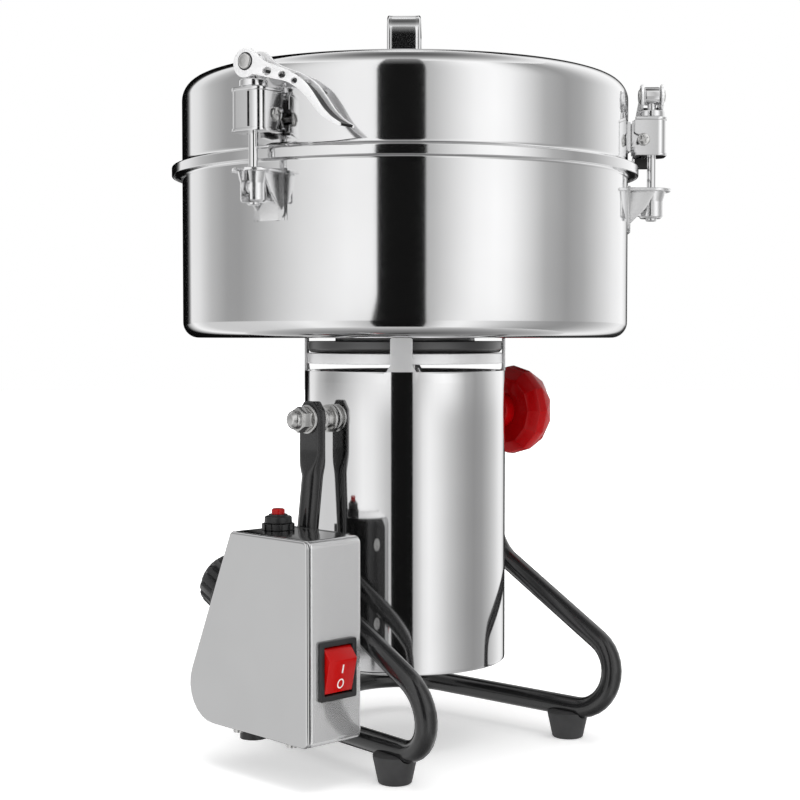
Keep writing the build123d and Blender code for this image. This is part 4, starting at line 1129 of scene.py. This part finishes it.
bm = fresh()
for s in (1, -1):
    T = R45 @ Matrix.Translation((s * 48.6, 0, 0))
    cross_head(bm, T @ Matrix.Translation((0, 0, Z_FOOT + 1.28)) @ Matrix.Rotation(radians(17 * s), 4, "Z"), 4.1, 2.3, 0.9, 5.0, 1.1)
    turn(bm, [(0, 381.2), (2.2, 381.2), (2.2, 388.6), (0, 388.6)], 32, closed=False, T=T)
    turn(bm, rounded([(0, 380.3), (3.9, 380.3, 0.6), (3.9, 383.1, 0.4), (0, 383.1)], 3, closed=False), 6, closed=False, T=T)
piece("handle_screw_set", bm, "zinc_steel", "lid", ["handle_screws"])

# ------------------------------------------------------------------ red clamp knob, cut like a stone
TILT_Z = 192.0


def ring_of(bm, T, r, z, n, off):
    return [bm.verts.new(T @ Vector((r * cos(2 * pi * (i + off) / n), r * sin(2 * pi * (i + off) / n), z))) for i in range(n)]


def faceted_knob():
    T = along((0, 0, TILT_Z), (1, 0, 0), (0, 0, 1))
    bm = fresh()
    n = 12
    rows = [(14.0, 84.1, 0), (21.2, 84.9, 0), (27.2, 89.8, 0), (27.9, 95.4, 0), (25.3, 102.6, 0.5), (18.2, 107.9, 0), (11.4, 109.55, 0.5)]
    rings = [ring_of(bm, T, r, z, n, o) for r, z, o in rows]
    bm.faces.new(list(reversed(rings[0])))
    bm.faces.new(rings[-1])
    for (A, ra), (B, rb) in zip(zip(rings, rows), zip(rings[1:], rows[1:])):
        for i in range(n):
            j = (i + 1) % n
            if abs(ra[2] - rb[2]) < 0.1:
                bm.faces.new((A[i], A[j], B[j], B[i]))
            elif rb[2] > ra[2]:
                bm.faces.new((A[i], A[j], B[i]))
                bm.faces.new((A[j], B[j], B[i]))
            else:
                bm.faces.new((A[i], B[j], B[i]))
                bm.faces.new((A[i], A[j], B[j]))
    bmesh.ops.recalc_face_normals(bm, faces=bm.faces)
    bmesh.ops.bevel(bm, geom=[e for e in bm.edges], offset=0.32, offset_type="OFFSET", segments=2, profile=0.5, affect="EDGES", clamp_overlap=True)
    turn(bm, rounded([(4.3, 76.55, 0.2), (10.9, 76.55, 0.7), (10.9, 84.4, 0.2), (4.3, 84.4)], 4), 64, T=T)
    return bm


piece("clamp_knob_cut", faceted_knob(), "red_gloss", "knob", ["clamp_knob"], smooth=24)

# ------------------------------------------------------------------ rocker switch
SWX, SWY, SWZ = -105.0, -54.5, 64.5


def rocker():
    bm = fresh()
    prof = [(-8.5, 5.9, 0.7), (-4.2, -11.55, 0.5)] + [(12.35 * cos(radians(a)), 12.35 * sin(radians(a))) for a in (252, 262, 272, 281)] + [(2.6, -11.6, 0.4), (2.6, 11.6, 0.4)] + \
           [(12.35 * cos(radians(a)), 12.35 * sin(radians(a))) for a in (80, 90, 100)] + [(-3.4, 11.85, 0.6)]
    pts = rounded(prof, 5)
    T = Matrix(((0, 0, 1, 0), (1, 0, 0, SWY), (0, 1, 0, SWZ), (0, 0, 0, 1)))
    prism(bm, pts, SWX - 9.45, SWX + 9.45, 0.35, 3, T, edges="caps")
    turn(bm, [(0, -10.4), (1.5, -10.4), (1.5, 10.4), (0, 10.4)], 24, closed=False, T=along((SWX, SWY, SWZ), (1, 0, 0)))
    # printed marks stand 0.04 mm proud of the long facet
    a, b = Vector((0, -8.5, 5.9)), Vector((0, -4.2, -11.55))
    up = (a - b).normalized()
    nrm = Vector((1, 0, 0)).cross(up)
    nrm = nrm if nrm.y < 0 else -nrm
    for kind, s in (("I", 5.1), ("O", 13.4)):
        c = Vector((SWX, SWY, SWZ)) + a - up * s
        F = Matrix(((1, up.x * 0, nrm.x, c.x + 0.5), (0, up.y, nrm.y, c.y), (0, up.z, nrm.z, c.z), (0, 0, 0, 1)))
        if kind == "I":
            plate(bm, rounded([(-0.45, -2.4, 0.4), (0.45, -2.4, 0.4), (0.45, 2.4, 0.4), (-0.45, 2.4, 0.4)], 3), [], -0.1, 0.05, 0.02, 1, F, 1)
        else:
            plate(bm, [(2.25 * x, 2.75 * y) for x, y in circle(1, 48)], [[(1.55 * x, 2.05 * y) for x, y in circle(1, 48)]], -0.1, 0.05, 0.02, 1, F, 1)
    return bm


piece("rocker_cap", rocker(), ["red_rocker", "white_print"], "rocker", ["switch_rocker"])


def rocker_housing():
    T = Matrix(((1, 0, 0, 0), (0, 0, 1, 0), (0, 1, 0, 0), (0, 0, 0, 1)))
    bm = fresh()
    sq = lambda x, z, r: rounded([(SWX - x, SWZ - z, r), (SWX + x, SWZ - z, r), (SWX + x, SWZ + z, r), (SWX - x, SWZ + z, r)], 5)
    plate(bm, sq(12.7, 15.7, 1.3), [sq(9.75, 12.75, 0.5)], -59.15, -57.0, 0.5, 4, T)
    # sloped inner frame, then the body behind the panel
    body = fresh()
    plate(body, sq(10.95, 13.95, 0.6), [sq(9.7, 12.7, 0.3)], -57.4, -34.6, 0.2, 2, T)
    join(bm, body, 0)
    block(bm, SWX - 10.9, SWX + 10.9, -34.9, -32.1, SWZ - 13.9, SWZ + 13.9, 0.4)
    for z in (-8, 0, 8):
        block(bm, SWX - 3.1, SWX + 3.1, -32.4, -25.1, SWZ + z - 0.4, SWZ + z + 0.4, 0.15, mat=1)
    return bm


piece("rocker_frame", rocker_housing(), ["bezel_plastic", "zinc_steel"], "stand", ["switch_housing"])

# ------------------------------------------------------------------ overload breaker and reset button
BRX, BRY = -101.0, -5.0
BT = Matrix.Translation((BRX, BRY, 0))


def breaker_boot():
    bm = fresh()
    pts = []
    for i in range(12):
        for d, r in ((-15, 8.9), (-9, 8.95), (-5.2, 8.95), (-4.6, 8.1), (4.6, 8.1), (5.2, 8.95), (9, 8.95)):
            a = radians(i * 30 + d)
            pts.append((r * cos(a), r * sin(a)))
    plate(bm, pts, [circle(6.1, 48)], 133.1, 136.45, 0.35, 3, BT)
    turn(bm, rounded([(6.1, 136.6, 0.2), (7.55, 136.6, 0.5), (7.4, 140.35, 0.9), (5.2, 140.6, 0.3), (5.15, 141.5, 0.35), (3.8, 141.5, 0.3), (3.8, 139.1), (6.1, 139.1)], 4), 64, T=BT)
    return bm


piece("breaker_boot", breaker_boot(), "black_plastic", "stand", ["breaker_collar"])

bm = fresh()
turn(bm, rounded([(0, 124.6), (2.5, 124.6, 0.3), (2.5, 141.2), (3.62, 141.25, 0.2), (3.62, 144.55, 1.1), (0, 144.6)], 5, closed=False), 48, closed=False, T=BT)
piece("reset_cap", bm, "red_rocker", "reset", ["reset_button"])

# ------------------------------------------------------------------ timer knob
NK = Vector((0, 0.912943, 0.408087))
KT = along((-106.0, 7 + 37 * 38 / 85, 96.0), NK, (1, 0, 0))


def ridged(r, depth, n=18, k=8):
    pts = []
    for i in range(n * k):
        a = 2 * pi * i / (n * k)
        w = (i % k) / k
        pts.append((a, r - depth * max(0.0, cos(2 * pi * w)) ** 1.3 if cos(2 * pi * w) > 0 else r))
    return [(q * cos(a), q * sin(a)) for a, q in pts]


def timer_knob():
    bm = fresh()
    turn(bm, rounded([(0, 1.25), (16.9, 1.25, 0.5), (16.9, 3.4, 0.7), (15.9, 3.7), (0, 3.7)], 4, closed=False), 96, closed=False, T=KT)
    body = fresh()
    stack(body, [(3.3, ridged(16.3, 1.3)), (3.5, ridged(16.7, 1.45)), (13.6, ridged(16.5, 1.45)), (14.8, ridged(16.1, 1.2)), (15.5, ridged(15.2, 0.5)), (16.4, ridged(14.4, 0.1)),
                 (17.3, ridged(13.6, 0.0)), (17.65, ridged(12.8, 0.0)), (17.68, ridged(9.5, 0.0))])
    body.transform(KT)
    join(bm, body, 0)
    plate(bm, rounded([(-1.2, -1.6, 0.6), (1.2, -1.6, 0.6), (1.2, 12.1, 0.6), (-1.2, 12.1, 0.6)], 4), [], 17.5, 18.55, 0.25, 3, KT, 0)
    plate(bm, rounded([(-0.45, 3.0, 0.3), (0.45, 3.0, 0.3), (0.45, 11.6, 0.3), (-0.45, 11.6, 0.3)], 3), [], 18.4, 18.59, 0.04, 1, KT, 1)
    turn(bm, [(0, -9.5), (2.95, -9.5), (2.95, 2.0), (0, 2.0)], 32, closed=False, T=KT)
    return bm


piece("timer_dial_knob", timer_knob(), ["knob_plastic", "white_print"], "timer", ["timer_knob"], smooth=38)

# ------------------------------------------------------------------ tilt pivot hardware
XT = along((0, 0, TILT_Z), (1, 0, 0), (0, 0, 1))
XN = along((0, 0, TILT_Z), (-1, 0, 0), (0, 0, 1))


def hex_loop(r, n=6):
    return [(r * cos(2 * pi * i / n), r * sin(2 * pi * i / n)) for i in range(n)]


def cap_nut():
    bm = fresh()
    prism(bm, rounded([(a, b, 0.5) for a, b in hex_loop(7.35)], 3), 76.85, 83.2, 0.55, 3, XN, edges="caps")
    turn(bm, rounded([(6.3, 82.9), (6.3, 83.35, 0.2), (5.35, 83.5, 0.2), (5.35, 86.2, 2.4), (2.8, 88.6, 2.0), (0, 88.78)], 7, closed=False), 64, closed=False, T=XN)
    return bm


def pivot_bolt():
    bm = fresh()
    prism(bm, rounded([(a, b, 0.5) for a, b in hex_loop(7.95)], 3), 52.25, 56.85, 0.5, 3, XN, edges="caps")
    turn(bm, rounded([(0, 52.3), (4.0, 52.3), (4.0, 87.4, 0.6), (0, 87.4)], 3, closed=False), 48, closed=False, T=XN)
    return bm


def pivot_stud():
    bm = fresh()
    prism(bm, rounded([(a, b, 0.5) for a, b in hex_loop(7.95)], 3), 52.25, 56.85, 0.5, 3, XT, edges="caps")
    turn(bm, rounded([(0, 52.3), (4.0, 52.3), (4.0, 103.9, 0.6), (0, 103.9)], 3, closed=False), 48, closed=False, T=XT)
    return bm


def pivot_washers():
    bm = fresh()
    for T in (XN, XT):
        turn(bm, rounded([(4.05, 59.2, 0.2), (7.95, 59.2, 0.45), (7.95, 61.2, 0.45), (5.6, 61.2, 0.3), (5.6, 66.2, 0.3), (7.95, 66.2, 0.45), (7.95, 68.9, 0.45), (4.05, 68.9, 0.2)], 3), 64, T=T)
    turn(bm, rounded([(4.05, 75.1, 0.2), (8.15, 75.1, 0.35), (8.15, 76.65, 0.6), (4.05, 76.65, 0.2)], 3), 64, T=XN)
    turn(bm, rounded([(4.05, 75.1, 0.2), (8.15, 75.1, 0.35), (8.15, 76.4, 0.6), (4.05, 76.4, 0.2)], 3), 64, T=XT)
    return bm


piece("pivot_cap_nut", cap_nut(), "zinc_steel", "mill", ["pivot_nut"])
piece("pivot_through_bolt", pivot_bolt(), "zinc_steel", "mill", ["pivot_bolt"])
piece("pivot_clamp_stud", pivot_stud(), "zinc_steel", "mill", ["pivot_stud"])
piece("pivot_washer_set", pivot_washers(), "zinc_steel", "mill", ["pivot_washers"])


# ------------------------------------------------------------------ stage, light and camera
CAM_AZ = 225.97                         # where the camera stands, seen from the motor axis


def flat_material(name, colour, strength=0.0):
    m = bpy.data.materials.new(name)
    m.use_nodes = True
    b = next(n for n in m.node_tree.nodes if n.type == "BSDF_PRINCIPLED")
    b.inputs["Base Color"].default_value = (*colour, 1)
    b.inputs["Roughness"].default_value = 0.9
    b.inputs["Specular IOR Level"].default_value = 0.1
    if strength:
        b.inputs["Emission Color"].default_value = (1, 1, 1, 1)
        b.inputs["Emission Strength"].default_value = strength
    return m


def lin(v):
    """Screen value 0-255 to linear light, for what a polished steel face of about 0.82 should give back."""
    v = v / 255.0
    v = v / 12.92 if v <= 0.04045 else ((v + 0.055) / 1.055) ** 2.4
    return v / 0.80


def tent():
    """A round light tent, hidden from the camera, seen in reflections and lighting the object: its brightness goes
    round with the azimuth, as soft boxes and a black card beside the camera give.
    """
    bm = fresh()
    n, z0, z1, R = 360, -2200.0, 3600.0, 2600.0
    rings = [[bm.verts.new((R * cos(2 * pi * i / n), R * sin(2 * pi * i / n), z)) for i in range(n)] for z in (z0, z1)]
    for i in range(n):
        bm.faces.new((rings[0][i], rings[0][(i + 1) % n], rings[1][(i + 1) % n], rings[1][i]))
    bm.transform(Matrix.Scale(0.001, 4))
    me = bpy.data.meshes.new("light_tent")
    bm.to_mesh(me)
    bm.free()
    ob = bpy.data.objects.new("light_tent", me)
    scene.collection.objects.link(ob)
    ob.location = (SX * 0.001, SY * 0.001, 0)
    ob.rotation_euler = (0, 0, radians(CAM_AZ))
    m = bpy.data.materials.new("light_tent")
    m.use_nodes = True
    t = m.node_tree
    t.nodes.clear()
    out = t.nodes.new("ShaderNodeOutputMaterial")
    em = t.nodes.new("ShaderNodeEmission")
    co = t.nodes.new("ShaderNodeTexCoord").outputs["Object"]
    sep = t.nodes.new("ShaderNodeSeparateXYZ")
    t.links.new(co, sep.inputs[0])
    gr = t.nodes.new("ShaderNodeTexGradient")
    gr.gradient_type = "RADIAL"
    t.links.new(co, gr.inputs["Vector"])

    def ramp(stops):
        n = t.nodes.new("ShaderNodeValToRGB")
        e = n.color_ramp.elements
        while len(e) > 1:
            e.remove(e[-1])
        for i, (a, v) in enumerate(stops):
            p = (a + 180.0) / 360.0
            el = e[0] if i == 0 else e.new(p)
            el.position = p
            c = lin(v)
            el.color = (c, c, c, 1)
        t.links.new(gr.outputs["Fac"], n.inputs["Fac"])
        return n.outputs["Color"]

    upper = ramp([(-180, 190), (-172, 8), (-145, 8), (-141, 110), (-138, 226), (-126, 218), (-113, 180), (-98, 150), (-88, 148), (-78, 164), (-62, 196), (-50, 214), (-28, 235),
                  (-15.0, 236), (0.0, 205), (12.2, 178), (18, 199), (26, 223), (34, 241), (44, 248), (52, 240), (61, 214), (72, 170), (86, 148), (98, 164),
                  (113, 202), (128, 229), (144, 242), (153, 214), (160, 40), (171, 12), (180, 190)])
    lower = ramp([(-180, 190), (-172, 8), (-149, 10), (-144, 150), (-134, 240), (-118, 200), (-100, 196), (-78, 200), (-62, 212), (-48, 234), (-36, 226), (-24, 198),
                  (-13.5, 172), (8.6, 168), (12, 182), (20, 226), (27, 238), (33, 230), (41, 214), (50, 192), (62, 168), (74, 148), (84, 140),
                  (96, 148), (108, 172), (120, 198), (134, 226), (142, 232), (151, 214), (157, 50), (171, 12), (180, 190)])
    mr = t.nodes.new("ShaderNodeMapRange")
    mr.interpolation_type = "SMOOTHSTEP"
    t.links.new(sep.outputs["Z"], mr.inputs["Value"])
    mr.inputs["From Min"].default_value = 0.05
    mr.inputs["From Max"].default_value = 0.14
    mix = t.nodes.new("ShaderNodeMix")
    mix.data_type = "RGBA"
    t.links.new(mr.outputs["Result"], mix.inputs["Factor"])
    t.links.new(lower, mix.inputs[6])
    t.links.new(upper, mix.inputs[7])
    t.links.new(mix.outputs[2], em.inputs["Color"])
    em.inputs["Strength"].default_value = 1.0
    t.links.new(em.outputs[0], out.inputs["Surface"])
    me.materials.append(m)
    ob.visible_camera = False
    ob.visible_shadow = False
    return ob


def black_card():
    """A black card beside the lens, seen only by reflections: it draws the dark stripe down the polished steel, and greys toward its top."""
    bm = fresh()
    c = Vector((-0.695, -0.719, 0)).normalized() * 500.0
    l = Vector((0.719, -0.695, 0)).normalized()
    rows = [(-95, -130, 78), (222, -130, 78), (242, -104, 77), (620, -104, 77), (1100, -104, 77)]
    rings = [[bm.verts.new((c + l * s + Vector((0, 0, z)))) for s in (a, (a + b) / 2, b)] for z, a, b in rows]
    for A, B in zip(rings, rings[1:]):
        for i in range(2):
            bm.faces.new((A[i], A[i + 1], B[i + 1], B[i]))
    bm.transform(Matrix.Scale(0.001, 4))
    me = bpy.data.meshes.new("black_card")
    bm.to_mesh(me)
    bm.free()
    ob = bpy.data.objects.new("black_card", me)
    scene.collection.objects.link(ob)
    ob.location = (SX * 0.001, SY * 0.001, 0)
    m = bpy.data.materials.new("black_card")
    m.use_nodes = True
    t = m.node_tree
    t.nodes.clear()
    out = t.nodes.new("ShaderNodeOutputMaterial")
    em = t.nodes.new("ShaderNodeEmission")
    sep = t.nodes.new("ShaderNodeSeparateXYZ")
    t.links.new(t.nodes.new("ShaderNodeTexCoord").outputs["Object"], sep.inputs[0])
    mr = t.nodes.new("ShaderNodeMapRange")
    t.links.new(sep.outputs["Z"], mr.inputs["Value"])
    for k, v in (("From Min", 0.60), ("From Max", 1.10), ("To Min", 0.006), ("To Max", 0.35)):
        mr.inputs[k].default_value = v
    t.links.new(mr.outputs["Result"], em.inputs["Color"])
    t.links.new(em.outputs[0], out.inputs["Surface"])
    me.materials.append(m)
    ob.visible_camera = False
    ob.visible_diffuse = False
    ob.visible_transmission = False
    ob.visible_shadow = False


def floor():
    bm = fresh()
    bmesh.ops.create_circle(bm, cap_ends=True, segments=96, radius=6.0)
    me = bpy.data.meshes.new("studio_floor")
    bm.to_mesh(me)
    bm.free()
    ob = bpy.data.objects.new("studio_floor", me)
    scene.collection.objects.link(ob)
    ob.location = (0, 0, -0.0001)
    m = flat_material("studio_floor", (0.92, 0.92, 0.92), 0.42)
    t = m.node_tree
    b = next(n for n in t.nodes if n.type == "BSDF_PRINCIPLED")
    ln = t.nodes.new("ShaderNodeVectorMath")
    ln.operation = "LENGTH"
    t.links.new(t.nodes.new("ShaderNodeTexCoord").outputs["Object"], ln.inputs[0])
    mr = t.nodes.new("ShaderNodeMapRange")
    mr.interpolation_type = "SMOOTHSTEP"
    t.links.new(ln.outputs["Value"], mr.inputs["Value"])
    for k, v in (("From Min", 0.30), ("From Max", 1.40), ("To Min", 0.42), ("To Max", 1.0)):
        mr.inputs[k].default_value = v
    t.links.new(mr.outputs["Result"], b.inputs["Emission Strength"])
    me.materials.append(m)
    ob.visible_glossy = False


def glossy_disc(name, radius, z, stops, centre=(0.0, 0.0), aspect=1.0):
    """A round card over or under the object, seen only by reflections: its brightness goes with the distance from its centre."""
    bm = fresh()
    bmesh.ops.create_circle(bm, cap_ends=True, segments=64, radius=radius)
    for v in bm.verts:
        v.co.y *= aspect
    me = bpy.data.meshes.new(name)
    bm.to_mesh(me)
    bm.free()
    ob = bpy.data.objects.new(name, me)
    scene.collection.objects.link(ob)
    d = Vector((cos(radians(CAM_AZ)), sin(radians(CAM_AZ)), 0))
    ob.location = Vector((SX * 0.001, SY * 0.001, z)) + d * centre[0]
    ob.rotation_euler = (0, 0, radians(CAM_AZ))
    m = bpy.data.materials.new(name)
    m.use_nodes = True
    t = m.node_tree
    t.nodes.clear()
    out = t.nodes.new("ShaderNodeOutputMaterial")
    em = t.nodes.new("ShaderNodeEmission")
    ln = t.nodes.new("ShaderNodeVectorMath")
    ln.operation = "LENGTH"
    t.links.new(t.nodes.new("ShaderNodeTexCoord").outputs["Object"], ln.inputs[0])
    mr = t.nodes.new("ShaderNodeMapRange")
    t.links.new(ln.outputs["Value"], mr.inputs["Value"])
    mr.inputs["From Max"].default_value = radius
    cr = t.nodes.new("ShaderNodeValToRGB")
    e = cr.color_ramp.elements
    while len(e) > 1:
        e.remove(e[-1])
    for i, (r, v) in enumerate(stops):
        el = e[0] if i == 0 else e.new(r / radius)
        el.position = r / radius
        c = lin(v)
        el.color = (c, c, c, 1)
    t.links.new(mr.outputs["Result"], cr.inputs["Fac"])
    t.links.new(cr.outputs["Color"], em.inputs["Color"])
    t.links.new(em.outputs[0], out.inputs["Surface"])
    me.materials.append(m)
    ob.visible_camera = False
    ob.visible_diffuse = False
    ob.visible_transmission = False
    ob.visible_shadow = False


tent()
black_card()
glossy_disc("top_card", 2.59, 3.5, [(0.0, 70), (0.7, 112), (1.5, 170), (2.2, 222), (2.59, 236)])
glossy_disc("top_glow", 0.42, 3.3, [(0.0, 250), (0.25, 225), (0.42, 120)], (-1.35, 0.0), 0.8)
glossy_disc("low_card", 2.59, -2.15, [(0.0, 84), (1.0, 128), (1.9, 166), (2.59, 200)])
floor()

world = bpy.data.worlds.new("studio")
scene.world = world
world.use_nodes = True
bg = world.node_tree.nodes["Background"]
bg.inputs["Color"].default_value = (1, 1, 1, 1)
bg.inputs["Strength"].default_value = 1.0


def soft_box(name, location, target, size, watts):
    d = bpy.data.lights.new(name, "AREA")
    d.shape = "RECTANGLE"
    d.size, d.size_y = size
    d.energy = watts
    o = bpy.data.objects.new(name, d)
    scene.collection.objects.link(o)
    o.location = location
    o.rotation_euler = (Vector(target) - Vector(location)).to_track_quat("-Z", "Y").to_euler()
    o.visible_camera = False
    o.visible_glossy = False
    return o


soft_box("top_box", (-0.1, -0.2, 2.2), (0, 0, 0.2), (1.6, 1.6), 26.0)

cam_data = bpy.data.cameras.new("camera")
cam_data.sensor_width = 36.0
cam_data.sensor_fit = "HORIZONTAL"
cam_data.lens = 71.64
cam_data.clip_start = 0.02
cam_data.clip_end = 50.0
camera = bpy.data.objects.new("camera", cam_data)
scene.collection.objects.link(camera)
d = Vector((0.695, 0.719, 0.0)).normalized()
yaw, pitch = radians(0.18), radians(2.34)
look = Matrix.Rotation(yaw, 3, "Z") @ d
look = Vector((look.x * cos(pitch), look.y * cos(pitch), -sin(pitch)))
camera.location = (-0.6497, -0.68766, 0.239)
camera.rotation_euler = look.to_track_quat("-Z", "Y").to_euler()
scene.camera = camera

scene.view_settings.view_transform = "Standard"
scene.view_settings.look = "None"
scene.view_settings.exposure = 0.0
scene.view_settings.gamma = 1.0
